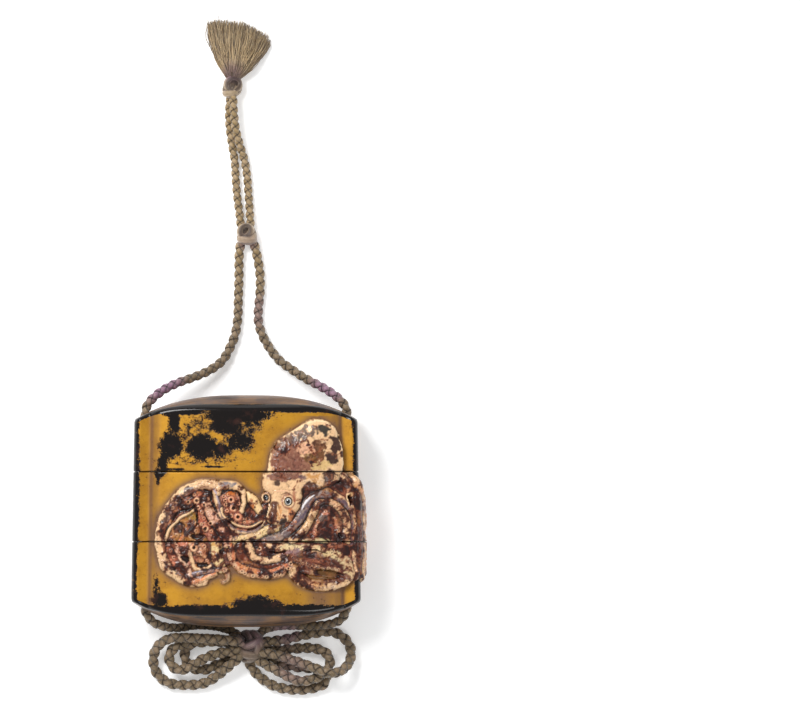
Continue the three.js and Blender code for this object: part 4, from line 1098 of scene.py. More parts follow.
def loft(rings):
    """A closed skin through rings of equal length: its points, quads and end triangles."""
    count = len(rings[0])
    points = np.concatenate(rings)
    here = np.arange(count)
    ahead = (here + 1) % count
    strip = np.stack([here, ahead, ahead + count, here + count], 1)
    quads = np.concatenate([strip + row * count for row in range(len(rings) - 1)])
    low = fill_ring(rings[0])[:, ::-1]
    high = fill_ring(rings[-1]) + (len(rings) - 1) * count
    tris = np.concatenate([low, high])
    a, b, c, d = (points[quads[:, i]] for i in range(4))
    volume = np.einsum("ij,ij->i", a, np.cross(b, c) + np.cross(c, d)).sum()
    if volume < 0:
        quads, tris = quads[:, ::-1], tris[:, ::-1]
    return points, quads, tris


def boolean(mesh, tools, kind):
    """Joins or cuts a mesh with others; the tools are used up."""
    body = new_object("body", mesh)
    helpers = [new_object("tool", tool) for tool in tools]
    for helper in helpers:
        modifier = body.modifiers.new("cut", "BOOLEAN")
        modifier.object = helper
        modifier.operation = kind
        modifier.solver = "MANIFOLD"
    bpy.context.view_layer.update()
    result = bpy.data.meshes.new_from_object(body.evaluated_get(bpy.context.evaluated_depsgraph_get()))
    for thing in [body, *helpers]:
        bpy.data.objects.remove(thing)
    if not len(result.polygons):
        raise RuntimeError(f"{mesh.name}: nothing is left after a boolean")
    return result


# ------------------------------------------------------------------ the case
TOP = dict(crown=34.8, crown_drop=7.4, crown_power=2.7, rim=31.2, rim_drop=3.9, rim_power=5)
FOOT = dict(crown=34.86, crown_drop=7.8, crown_power=3, rim=30.45, rim_drop=3.4, rim_power=5)
EDGE = 1.3
TOUCH = 0.008          # half of what shows of a seam behind its groove
ROW_LIMIT = 25.8
LID_WALL, CASE_WALL = 1.9, 3.2
RISER_INSET, RISER_HEIGHT, SOCKET_DEPTH = 2.2, 5.6, 6.2
FLOOR, DOME_WALL, HOLLOW_X = 1.6, 2.2, 26.0
CHANNEL_X, CHANNEL_R, MOUTH_R = 30.2, 1.8, 2.5
FINE_CELL, PLAIN_CELL, ROW_CELL = 0.2, 0.45, 0.21
SLOPE_X, ROUND_X = 34.5, 34.6        # half widths of the ovals that the ends follow
SEAM_LIP = ((0.0, 0.55), (0.06, 0.46), (0.12, 0.16), (0.3, 0.0))    # rise from a seam, and how far in
LIP_HIGH = 0.5
DOME_SHARES = (0.86, 0.8, 0.66, 0.52, 0.38, 0.24, 0.1)
FILLET_TURNS = (12, 24, 36, 48, 60, 75, 90)
CARVED_Y, CARVED_MARGIN = 28.5, 1
FRONT_RANGE, CARVED_RANGE = (3.0, 31.5), (-28.4, 97.4)
SMOOTH_UP_TO = math.radians(50)


def widen(y):
    """The case's slight taper along its height."""
    return 1 - TAPER * np.clip(np.asarray(y) / TAPER_REACH, -1, 1)


def outline(us):
    """Places and outward slopes on the plain outline, by distance round it."""
    us = np.asarray(us, float)
    fold = np.where(us <= QUARTER, np.abs(us), np.abs(2 * QUARTER - us))
    x, z = np.interp(fold, QU, QX), np.interp(fold, QU, QZ)
    sx = np.where((us < 0) | (us > 2 * QUARTER), -1, 1)
    sz = np.where(us > QUARTER, -1, 1)
    slope_x, slope_z = 6 * x ** 5 / SLOPE_X ** 6, 2.5 * z ** 1.5 / HALF_THICK ** 2.5
    size = np.hypot(slope_x, slope_z)
    fill = 1.3 * np.exp(-(((x - VALLEY_X) / 1.7) ** 2))
    return sx * x, sz * z, sx * slope_x / size, sz * slope_z / size, fill


def case_ring(us, ys, height=0.0, inset=0.0):
    """Points round the case at a height, raised by the carving or set in."""
    x, z, dx, dz, fill = outline(us)
    ys = np.broadcast_to(ys, x.shape)
    lift = height + fill * np.clip(height / 0.8, 0, 1) - inset
    return np.stack([x * widen(ys) + dx * lift, ys, MID_Z + z + dz * lift], 1)


def dome_y(end, x, z):
    """How far out a domed end stands at a place."""
    reach = np.minimum(np.abs(x) / HALF_WIDTH, 1)
    crown = end["crown"] - end["crown_drop"] * reach ** end["crown_power"]
    rim = np.minimum(crown, end["rim"] - end["rim_drop"] * reach ** end["rim_power"])
    half = HALF_THICK * (1 - np.minimum(np.abs(x) / ROUND_X, 0.995) ** 6) ** 0.4
    return rim + (crown - rim) * np.clip(1 - (z / half) ** 2, 0, None)


def dome_ring(end, sign, us, share, drop=0.0):
    """Points round a domed end, at a share of the way out from its middle."""
    x, z, _, _, _ = outline(us)
    round_end = np.where(np.abs(x) > CREST_X, 0.9 * (1 - (z / QZ[QX <= CREST_X][-1]) ** 2), 0)
    px = x * (1 - 0.1 * (1 - share)) + np.sign(x) * np.clip(round_end, 0, None) * (1 - share)
    pz = z * share
    y = sign * (dome_y(end, px, pz) - drop)
    return np.stack([px * widen(y), y, MID_Z + pz], 1)


def sample(field, us, ys):
    """Reads a raster at places on the outline, between its cells."""
    fx = np.clip((np.asarray(us, float) - U_LOW) / CELL, 0, field.shape[1] - 1.001)
    fy = np.clip((np.broadcast_to(ys, fx.shape) - Y_LOW) / CELL, 0, field.shape[0] - 1.001)
    c, r = fx.astype(int), fy.astype(int)
    tx, ty = fx - c, fy - r
    if field.ndim == 3:
        tx, ty = tx[:, None], ty[:, None]
    top = field[r, c] * (1 - tx) + field[r, c + 1] * tx
    low = field[r + 1, c] * (1 - tx) + field[r + 1, c + 1] * tx
    return top * (1 - ty) + low * ty


def worn_patches():
    """Worn patches of the gold: place round the outline, height, half sizes and strength."""
    f, b = front, back
    return [
        # lid, front: the black band under the rim, the spots below it and the gold islands between
        (f(-2.7), 28.9, 10.2, 2.3, 1.25), (f(-6), 25.4, 5.4, 2.8, 1.05), (f(1.6), 25.6, 3.6, 3.0, 0.62),
        (f(-2.0), 21.0, 4.6, 3.2, 0.86), (f(-13.4), 19.3, 4.9, 4.0, 1.15), (f(-7.8), 18.2, 3.8, 3.0, 0.84),
        (f(-22.6), 19.6, 3.3, 4.5, 1.15), (f(-21.9), 26.6, 1.8, 4.4, 1.05), (f(-23), 29.4, 2.6, 1.3, 1.0),
        (f(-17.6), 29.7, 7.2, 1.0, 1.0), (f(-15.6), 26.2, 5.2, 3.2, 0.48), (f(-17.4), 22.4, 3.4, 2.4, 0.5),
        (f(-25.2), 14.2, 1.5, 2.7, 1.05), (f(-26.2), 11.6, 1.7, 1.5, 1.0), (f(-26.5), 9.2, 0.6, 1.7, 0.7),
        (f(-13), 15.2, 11.5, 1.7, 0.46), (f(-10), 13.3, 3.8, 0.4, 0.8), (f(-21.6), 12.5, 3.2, 0.5, 0.85),
        (f(17), 30.0, 11.5, 0.55, 0.95),
        # bottom case, front
        (f(-14), -29.8, 15, 1.5, 1.2), (f(3.2), -29.4, 8, 3.2, 1.25), (f(3.6), -26.6, 4.6, 1.7, 0.7),
        (f(18), -29.6, 12, 1.5, 1.15), (f(-25.6), -26.8, 2.4, 2.3, 1.0), (f(-26.8), -23.4, 1.3, 3.6, 0.62),
        (f(-26.6), -20.6, 0.8, 1.4, 0.5),
        # lid, behind
        (b(1), 28.8, 20, 2.8, 1.2), (b(4), 20.4, 6.4, 3.6, 1.0), (b(3), 20.8, 13, 7.6, 0.5),
        (b(21), 22, 5.8, 7.8, 0.6), (b(-20), 22.4, 5.0, 5.6, 0.92), (b(-19), 20.4, 8.4, 8.6, 0.5),
        (b(-8), 17, 6.4, 2.4, 0.6), (b(8), 14.2, 16, 1.1, 0.6),
        # middle case, behind
        (b(-3), 9.4, 25, 2.7, 1.15), (b(4), 6.2, 9.4, 2.6, 0.72), (b(-15), 4.6, 10, 4.2, 1.2),
        (b(-21.4), -1.6, 5.8, 7.0, 0.72), (b(19.8), 8.4, 3.8, 3.2, 1.0), (b(-25), -7.2, 3.4, 2.0, 0.8),
        # bottom case, behind
        (b(-21.4), -18, 5.4, 7.4, 1.0), (b(-17.4), -19, 8.4, 8.2, 0.55), (b(0), -27.4, 27, 2.6, 1.2),
        (b(20.4), -23.6, 3.6, 4.0, 0.8), (b(-8), -23, 9.4, 2.4, 0.7), (b(-26.4), -11, 2.4, 3.4, 0.9),
        (b(8), -24.4, 9.4, 1.6, 0.6),
        # gold left on the ends
        (-QUARTER - 3, 2, 5.2, 9, -0.44), (side(0), 21, 4.6, 6.5, -0.4), (-QUARTER + 4, -20, 4.4, 5.6, -0.4),
        (side(4), 26.4, 3.6, 4, -0.4),
        (f(-31.4), 26, 1.6, 3.4, -0.5), (f(-31.6), -18, 1.2, 5, -0.4), (f(31.8), 19, 1.0, 7, -0.35),
    ]


def wear_at(us, ys):
    """How far the gold is worn off: 0 is sound and 1 is bare."""
    x = np.abs(outline(us)[0])
    ys = np.broadcast_to(ys, len(us))
    total = 0.95 * step(CREST_X - 0.5, CREST_X + 0.7, x)
    lost = np.zeros(len(us))
    for u, y, ru, ry, strength in worn_patches():
        away = np.abs(us - u)
        away = np.minimum(away, 4 * QUARTER - away)
        reach = np.hypot(away / ru, (ys - y) / ry)
        blob = strength * (1 - step(0.3, 1.6, reach))
        total, lost = np.maximum(total, blob), np.minimum(lost, blob)
    return np.clip(total + lost, 0, 1.2)


def valley_shade(us):
    """Brown shade along the flutes and beside the crests."""
    x = np.abs(outline(us)[0])
    return np.exp(-((x - 28.6) / 0.75) ** 2) * 0.85 + 0.35 * np.exp(-((x - 27.0) / 1.0) ** 2)


def section_mesh(name, low, high, fine, layers):
    """The outer skin of one section as a closed solid; low or high is None at a domed end."""
    us = np.concatenate([np.arange(-QUARTER, fine[0], PLAIN_CELL), np.arange(fine[0], fine[1], FINE_CELL),
                         np.arange(fine[1], 3 * QUARTER - PLAIN_CELL / 2, PLAIN_CELL)])
    rings, rows, domed, filleted = [], [], [], []

    def wall(y, inset=0.0):
        y = np.broadcast_to(np.asarray(y, float), us.shape)
        rings.append(case_ring(us, y, sample(layers["height"], us, y), inset))
        rows.append(y)
        domed.append(0.0)
        filleted.append(0.0)

    def dome(end, sign):
        turns = np.radians(FILLET_TURNS)
        steps = [(1 - EDGE * (1 - math.cos(a)) / HALF_THICK, EDGE * (1 - math.sin(a)), 0.0, 1.0)
                 for a in turns]
        steps += [(share, 0.0, 1.0, 0.0) for share in DOME_SHARES]
        for share, drop, on_dome, on_fillet in steps:
            yield dome_ring(end, sign, us, share, drop), on_dome, on_fillet

    def add_dome(rows_of_dome):
        for ring, on_dome, on_fillet in rows_of_dome:
            rings.append(ring)
            rows.append(ring[:, 1])
            domed.append(on_dome)
            filleted.append(on_fillet)

    def edge_rows(end, sign):
        x, z, _, _, _ = outline(us)
        edge = sign * (dome_y(end, x, z) - EDGE)
        for share in np.linspace(0.06, 1, 16):
            yield sign * ROW_LIMIT * (1 - share) + edge * share

    if low is None:
        add_dome(reversed(list(dome(FOOT, -1))))
        for y in reversed(list(edge_rows(FOOT, -1))):
            wall(y)
        start = -ROW_LIMIT
    else:
        for rise, inset in SEAM_LIP:
            wall(low + rise, inset)
        start = low + LIP_HIGH
    end = ROW_LIMIT if high is None else high - LIP_HIGH
    for y in np.linspace(start, end, max(2, round((end - start) / ROW_CELL))):
        wall(y)
    if high is None:
        for y in edge_rows(TOP, 1):
            wall(y)
        add_dome(dome(TOP, 1))
    else:
        for rise, inset in reversed(SEAM_LIP):
            wall(high - rise, inset)
    rings = [np.stack([r[:, 0], r[:, 1], np.maximum(r[:, 2], 0)], 1) for r in rings]
    mesh = raw_mesh(name, *loft(rings))
    all_u = np.tile(us, len(rings))
    all_y = np.concatenate(rows)
    dome_mask = np.repeat(domed, len(us))
    inside = (np.abs(all_y) < CARVED_Y) & (dome_mask < 0.5)
    inside &= (all_u > U_LOW + CARVED_MARGIN) & (all_u < U_HIGH - CARVED_MARGIN)
    paint = np.ones((len(all_u), 4))
    paint[:, :3] = sample(layers["paint"], all_u, all_y)
    # painted shade round the carving, added to the painted shade in the flutes below
    relief_shade = sample(layers["relief_shade"], all_u, all_y) * inside
    seam = np.minimum(np.abs(all_y - SEAM_1), np.abs(all_y - SEAM_2))
    for label, values in (
            ("paint", paint),
            ("carved", sample(layers["carved"], all_u, all_y) * inside),
            ("shade", np.clip(relief_shade + valley_shade(all_u) * (1 - dome_mask), 0, 1)),
            ("seam_dark", 1 - step(0.1, 0.42, seam)),
            ("wear", wear_at(all_u, all_y) * (1 - dome_mask) + 1.2 * np.repeat(filleted, len(us))),
            ("domed", dome_mask)):
        set_attribute(mesh, label, values)
    return mesh


def lens(half_x, inset, place_y, steps=32):
    """A lens-shaped outline set in from the case's own, with round ends."""
    turn = np.pi * (np.arange(steps * 2) + 0.5) / steps
    x = half_x * np.cos(turn)
    half = (front_z(np.minimum(np.abs(x), PANEL_X)) - inset) * (1 - np.abs(x / half_x) ** 8) ** 0.25
    z = np.sign(np.sin(turn)) * half
    y = np.broadcast_to(np.asarray(place_y, float), x.shape)
    return np.stack([x, y, MID_Z + z], 1)


def prism(half_x, inset, low, high):
    """A straight solid of the lens-shaped outline, for a riser or a hollow."""
    return raw_mesh("prism", *loft([lens(half_x, inset, low), lens(half_x, inset, high)]))


def domed_hollow(half_x, inset, end, sign, open_y):
    """A hollow that follows the dome of its end."""
    rings = [lens(half_x, inset, open_y)]
    for share in (1, 0.8, 0.6, 0.4, 0.2):
        ring = lens(half_x, inset, 0)
        z = (ring[:, 2] - MID_Z) * share
        x = ring[:, 0] * (0.75 + 0.25 * share)
        rings.append(np.stack([x, sign * (dome_y(end, x, z) - DOME_WALL), MID_Z + z], 1))
    return raw_mesh("hollow", *loft(rings))


def turned(profile, x, steps=32):
    """A solid turned round the line of a cord channel, from (y, radius) pairs."""
    turn = 2 * np.pi * np.arange(steps) / steps
    rings = [np.stack([x + r * np.cos(turn), np.full(steps, float(y)), MID_Z + r * np.sin(turn)], 1)
             for y, r in profile]
    return raw_mesh("channel", *loft(rings))


def channels(low, high):
    """Cord channels through both ends of a section, flared where they come out."""
    for x in (-CHANNEL_X, CHANNEL_X):
        mouth_top = float(dome_y(TOP, abs(x), 0))
        mouth_foot = -float(dome_y(FOOT, abs(x), 0))
        profile = [(low - 1, CHANNEL_R)] if low is not None else [
            (mouth_foot - 6, 3.4), (mouth_foot, MOUTH_R), (mouth_foot + 0.9, CHANNEL_R + 0.15),
            (mouth_foot + 2, CHANNEL_R)]
        profile += [(high + 1, CHANNEL_R)] if high is not None else [
            (mouth_top - 2, CHANNEL_R), (mouth_top - 0.9, CHANNEL_R + 0.15), (mouth_top, MOUTH_R),
            (mouth_top + 6, 3.4)]
        yield turned(profile, x)


def build_case(material, layers):
    """The three hollow sections, with their risers, sockets and cord channels."""
    seam_1, seam_2 = (SEAM_1 - TOUCH, SEAM_1 + TOUCH), (SEAM_2 - TOUCH, SEAM_2 + TOUCH)
    step_in = HOLLOW_X - (CASE_WALL - LID_WALL)
    socket_top = SEAM_2 + SOCKET_DEPTH
    sections = {
        "lid": (seam_1[1], None, FRONT_RANGE, None,
                [domed_hollow(HOLLOW_X, LID_WALL, TOP, 1, SEAM_1 - 2)]),
        "middle_case": (seam_2[1], seam_1[0], CARVED_RANGE, SEAM_1,
                        [prism(step_in, CASE_WALL, socket_top + FLOOR, SEAM_1 + RISER_HEIGHT + 2),
                         prism(HOLLOW_X, LID_WALL, SEAM_2 - 2, socket_top)]),
        "bottom_case": (None, seam_2[0], CARVED_RANGE, SEAM_2,
                        [domed_hollow(step_in, CASE_WALL, FOOT, -1, SEAM_2 + RISER_HEIGHT + 2)]),
    }
    for name, (low, high, fine, riser_seam, hollows) in sections.items():
        mesh = section_mesh(name, low, high, fine, layers)
        if riser_seam is not None:
            riser = prism(HOLLOW_X - GAP, RISER_INSET, riser_seam - 2, riser_seam - GAP / 2 + RISER_HEIGHT)
            mesh = boolean(mesh, [riser], "UNION")
        mesh = boolean(mesh, [*hollows, *channels(low, high)], "DIFFERENCE")
        mesh.name = name + "_lacquer"
        add_piece(name + "_lacquer", mesh, material, "lacquer_case", [name])
        mesh.set_sharp_from_angle(angle=SMOOTH_UP_TO)


# ------------------------------------------------------------------ silk
CORD_D, STRAND_D, LOOP_D = 2.7, 2.4, 3.0
FIBRES, FIBRE_POINTS = 1500, 9
CORDS = {
    "cord_left": [(-1.3, 82, 2.6), (-2, 77.4, 1.8), (-2.1, 70.2, 1.45), (-2.3, 63, 1.4),
        (-2.5, 57.5, 1.4), (-3.3, 52.8, 1.5), (-4.7, 49.2, 1.8), (-7, 45.2, 2.7), (-10.6, 42.4, 4.2),
        (-15, 40.4, 6.3), (-19.8, 38.7, 8.6), (-23.8, 36.9, 10.6), (-27.2, 34.5, 12.2),
        (-29.6, 31.8, 12.7), (-30.2, 28.6, 12.7), (-30.2, 14, 12.7), (-30.2, 0, 12.7), (-30.2, -14, 12.7),
        (-30.3, -27, 12.7), (-30, -30.4, 12.4), (-28, -33.2, 10.9), (-24.4, -34.7, 8.4), (-20, -35, 5.4),
        (-15, -34.3, 2.8), (-9.4, -34.6, 1.6), (-4.6, -35.9, 2.2), (-0.9, -38.2, 3.4)],
    "cord_right": [(1.9, 82, 2.6), (3.2, 77.2, 1.8), (4.2, 71, 1.45), (4.2, 65.5, 1.4), (3.7, 60, 1.4),
        (3.8, 56.4, 1.4), (4.9, 52.8, 1.5), (7, 49, 1.9), (10, 45.2, 3.1), (13.8, 42.4, 4.9),
        (17.6, 39.9, 7), (21.8, 37.7, 9.3), (25.4, 35.6, 11.3), (28.4, 33.2, 12.5), (30, 30.8, 12.7),
        (30.2, 27.6, 12.7), (30.2, 14, 12.7), (30.2, 0, 12.7), (30.2, -14, 12.7), (30.3, -27, 12.7),
        (30, -30.2, 12.4), (28.2, -32.7, 11), (24.8, -34, 8.6), (20.2, -34.4, 5.6), (14.8, -34.4, 3),
        (9.2, -34.6, 1.7), (5.2, -35.8, 2.2), (3, -38, 3.4)],
}
STRANDS = {
    "strand_left": [(-1.4, 84, 2.4), (-1.9, 88.6, 1.5), (-2.7, 95, 1.25), (-3.1, 100, 1.25),
        (-3.4, 105, 1.25), (-4.3, 110.6, 1.25), (-5, 116, 1.25), (-5, 121.5, 1.5), (-4.4, 125.5, 2.4)],
    "strand_right": [(1.5, 84, 2.6), (1.2, 88.8, 1.7), (0.8, 94.5, 1.25), (0.4, 100, 1.3),
        (-0.4, 105, 1.6), (-1.8, 109.8, 2.7), (-3, 114.4, 4), (-3.6, 119.4, 4.4), (-3.9, 125.5, 4)],
}
LOOPS = {
    "bow_loop_left_1": [(-0.8, -42.8, 4.8), (-3.4, -45, 5.2), (-7.6, -48.6, 3.4), (-12.4, -51.6, 1.8),
        (-18.2, -52.2, 1.6), (-23.6, -51.4, 1.7), (-27, -48.2, 2.2), (-27.8, -44.4, 3.2),
        (-26.6, -40.8, 5), (-23.2, -38.4, 7), (-18.6, -38, 8.4), (-13.6, -38.2, 8.6), (-8.6, -38.4, 8.4),
        (-4, -39, 7.4), (-0.8, -39.4, 6.2)],
    "bow_loop_left_2": [(-1.2, -41.6, 5.4), (-4, -42, 5.4), (-8.6, -42.8, 5.2), (-13.2, -44.6, 5.2),
        (-17.2, -47, 5), (-20.6, -47.6, 4.6), (-22.8, -45.4, 4.4), (-22.8, -42.6, 4.5),
        (-20.4, -40.4, 4.9), (-16, -39.6, 5.2), (-11, -39.2, 5.3), (-6, -38.7, 5.2), (-1.4, -38.2, 4.6)],
    "bow_loop_left_3": [(-0.6, -43.2, 2.8), (-3.8, -43.9, 1.7), (-8.4, -46, 1.6), (-12.6, -47.6, 1.6),
        (-16.6, -46.8, 1.6), (-18.4, -43.8, 1.6), (-17.4, -40.6, 1.6), (-14.2, -39, 1.6),
        (-9.6, -38.9, 1.6), (-5, -39.8, 1.7), (-1.2, -39.9, 2.8)],
    "bow_loop_right_1": [(3.2, -39.4, 4.4), (6.4, -39.2, 4.6), (11.4, -38.6, 3.2), (16.4, -37.4, 1.9),
        (20.8, -36.6, 1.7), (25.6, -36.2, 1.7), (29.3, -38, 1.8), (31.3, -41, 2.3), (31.2, -44.8, 4),
        (28.8, -47.8, 6.6), (25.2, -48.6, 8.6), (20.8, -47.2, 8), (16.6, -45.6, 6.6), (12.6, -44.3, 5.8),
        (8, -43, 6.1), (3.8, -42.4, 5.8)],
    "bow_loop_right_2": [(3.2, -41, 2.6), (6.4, -41.5, 1.8), (11, -41.6, 1.6), (15.8, -41.2, 2),
        (20.4, -41.2, 3.2), (24, -42.6, 4.4), (25.2, -45.6, 5), (23.4, -48.6, 5.1), (20, -50.4, 5),
        (16, -51, 4.9), (12.4, -49.6, 4.9), (8.8, -47.6, 5), (5.4, -45.8, 5), (2.6, -44, 4.4)],
    "bow_loop_right_3": [(0.8, -43, 2.6), (1.4, -46.4, 1.6), (4, -49.6, 1.6), (7.8, -52.2, 1.6),
        (13, -53.5, 1.6), (18.6, -53.4, 1.6), (23.4, -51.8, 1.6), (24, -49, 1.6), (20.6, -47.4, 1.6),
        (15.4, -46.8, 1.6), (10, -45.8, 1.6), (6.2, -44.2, 1.7), (4, -42.6, 2.4)],
}
KNOTS = {
    "knot_joining": dict(at=(0.3, 83, 3.1), half=(3.1, 3.4, 3.0)),
    "knot_tassel": dict(at=(-4.1, 127.3, 2.9), half=(3.1, 3.6, 2.8)),
    "bow_knot": dict(at=(1.3, -40.6, 4.0), half=(4.3, 5.1, 3.9)),
}


def even_path(route, pitch, closed=False):
    """Points at an even pitch along a smooth route, with their distances."""
    fine = spline(route, 24, closed)
    if closed:
        fine = np.vstack([fine, fine[:1]])
    along = run_along(fine)
    places = np.linspace(0, along[-1], max(3, round(along[-1] / pitch) + 1))
    return np.stack([np.interp(places, along, fine[:, i]) for i in range(3)], 1), places


def path_axes(points):
    """Two directions across a path at each point, turned as little as can be."""
    tangents = unit(np.gradient(points, axis=0))
    first = np.cross(tangents[0], [0.0, 0.0, 1.0])
    if np.linalg.norm(first) < 0.1:
        first = np.cross(tangents[0], [1.0, 0.0, 0.0])
    across = [first / np.linalg.norm(first)]
    for tangent in tangents[1:]:
        side_way = across[-1] - tangent * np.dot(across[-1], tangent)
        across.append(side_way / np.linalg.norm(side_way))
    across = np.array(across)
    return across, np.cross(tangents, across)


def tube_faces(count, sides, offset=0, closed=False):
    """Quads and end fans of a tube of rings."""
    ring = np.arange(sides)
    ahead = (ring + 1) % sides
    quads = [np.stack([ring, ahead, ahead + sides, ring + sides], 1) + r * sides for r in range(count - 1)]
    if closed:
        last = (count - 1) * sides
        quads.append(np.stack([ring + last, ahead + last, ahead, ring], 1))
        return np.concatenate(quads) + offset, np.zeros((0, 3), int)
    fan = np.stack([np.zeros(sides - 2, int), ring[1:-1], ring[2:]], 1)
    return np.concatenate(quads) + offset, np.concatenate([fan[:, ::-1], fan + (count - 1) * sides]) + offset


class Bundle:
    """Tubes gathered into one mesh, each point with its place on its own fibre."""

    def __init__(self):
        self.points, self.fibre, self.deep, self.quads, self.tris, self.size = [], [], [], [], [], 0

    def add(self, centre, width_way, thick_way, wide, thick, along, sides=8, closed=False, seed=0.0, dip=0.0):
        turn = 2 * np.pi * np.arange(sides) / sides
        wide, thick = (np.broadcast_to(np.asarray(v, float), len(centre)) for v in (wide, thick))
        cos, sin = np.cos(turn)[None, :, None], np.sin(turn)[None, :, None]
        rings = (centre[:, None] + cos * (width_way * wide[:, None])[:, None]
                 + sin * (thick_way * thick[:, None])[:, None])
        ways = (np.cos(turn)[None] + seed, np.sin(turn)[None], along[:, None])
        fibre = np.stack(np.broadcast_arrays(*ways), 2)
        quads, tris = tube_faces(len(centre), sides, self.size, closed)
        # painted shade along the sides of each tube, kept with the dip that is given
        edge = np.abs(np.cos(turn))[None] ** 3 * 0.8
        deep = np.maximum(np.broadcast_to(np.reshape(dip, (-1, 1)), (len(centre), 1)), edge)
        self.points.append(rings.reshape(-1, 3))
        self.deep.append(deep.ravel())
        self.fibre.append(fibre.reshape(-1, 3))
        self.quads.append(quads)
        self.tris.append(tris)
        self.size += len(centre) * sides

    def mesh(self, name, plum):
        points = np.concatenate(self.points)
        points[:, 2] = np.maximum(points[:, 2], 0.02)      # it rests on the floor
        mesh = raw_mesh(name, points, np.concatenate(self.quads), np.concatenate(self.tris))
        set_attribute(mesh, "fibre", np.concatenate(self.fibre))
        set_attribute(mesh, "deep", np.concatenate(self.deep))
        set_attribute(mesh, "plum", plum(points))
        set_attribute(mesh, "pale", step(48, 88, points[:, 1]))
        return mesh


def plum_tint(points):
    """Where the silk has kept its purple: by the lid, in the bow and at the tassel's foot."""
    plum = np.zeros(len(points))
    for centre, reach, strength in (
            ((-25, 37, 10), 9, 0.95), ((25, 37, 10), 8, 0.9), ((1.5, -38, 6), 5.4, 0.5),
            ((-4, 131.5, 4), 4.5, 0.8), ((12, -36.4, 2), 6, 0.5), ((14, -47, 5), 7, 0.25),
            ((0.5, 81, 3), 4, 0.5), ((4, 60, 1), 7, 0.3)):
        away = np.linalg.norm(points - np.array(centre), axis=1)
        plum = np.maximum(plum, strength * (1 - step(0.35, 1.0, away / reach)))
    return plum


def braid(name, route, diameter, material):
    """A round braid of four strands, two turning each way, over and under by turns."""
    scale = diameter / CORD_D
    lay, middle, swing = 5.6 * scale, 0.64 * scale, 0.34 * scale
    points, places = even_path(route, 0.36)
    across, up = path_axes(points)
    bundle = Bundle()
    for strand in range(4):
        way = 1 if strand < 2 else -1
        turn = way * 2 * np.pi * places / lay + np.pi * strand
        out = middle + way * swing * np.cos(4 * np.pi * places / lay)
        radial = across * np.cos(turn)[:, None] + up * np.sin(turn)[:, None]
        centre = points + radial * out[:, None]
        flat_way = unit(np.cross(unit(np.gradient(centre, axis=0)), radial))
        # painted shade where the strand dips under the others
        dip = 0.5 - 0.5 * way * np.cos(4 * np.pi * places / lay)
        bundle.add(centre, flat_way, radial, 1.0 * scale, 0.52 * scale, places, seed=3.1 * strand,
                   dip=0.8 * dip ** 2)
    mesh = bundle.mesh(name + "_braid", plum_tint)
    piece = add_piece(name + "_braid", mesh, material, "silk_cord", [name])
    return piece, points, places[-1]


def declare_cord(piece, points, length, diameter, pieces):
    """States a cord's route, length and thickness, and the pieces that ride on it."""
    stops = np.linspace(0, len(points) - 1, (len(points) - 1) // 6 + 1).round().astype(int)
    route = (points[stops] + [CENTRE_X, 0, 0]) * MM
    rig.cord(piece, exit=route[0], length=length * MM, diameter=diameter * MM, far_end="knot",
            stiffness="limp", lay="loose", path=route, with_pieces=pieces)


def wrap_path(centre, half, tilt, roll, wave=0.0, phase=0.0, count=48):
    """A closed turn round a knot: an ellipse on its surface, tilted and swaying."""
    t = 2 * np.pi * np.arange(count) / count
    ring = np.stack([np.cos(t), wave * np.sin(2 * t + phase), np.sin(t)], 1)
    a, b = math.radians(tilt), math.radians(roll)
    turn_z = np.array([[math.cos(a), -math.sin(a), 0], [math.sin(a), math.cos(a), 0], [0, 0, 1]])
    turn_x = np.array([[1, 0, 0], [0, math.cos(b), -math.sin(b)], [0, math.sin(b), math.cos(b)]])
    ring = ring @ turn_x.T @ turn_z.T
    return np.array(centre) + ring * np.array(half)


def add_wrap(bundle, centre, half, tilt, roll, width, thick, wave=0.0, shift=(0, 0, 0), seed=0.0):
    """One smooth band of silk wound round a knot."""
    inner = np.array(half) - thick
    points = wrap_path(np.array(centre) + shift, inner, tilt, roll, wave)
    out = unit(points - np.array(centre) - shift)
    ways = unit(np.roll(points, -1, 0) - np.roll(points, 1, 0))
    flat = unit(np.cross(ways, out))
    bundle.add(points, flat, np.cross(flat, ways), width, thick, run_along(points), sides=14, closed=True,
               seed=seed)


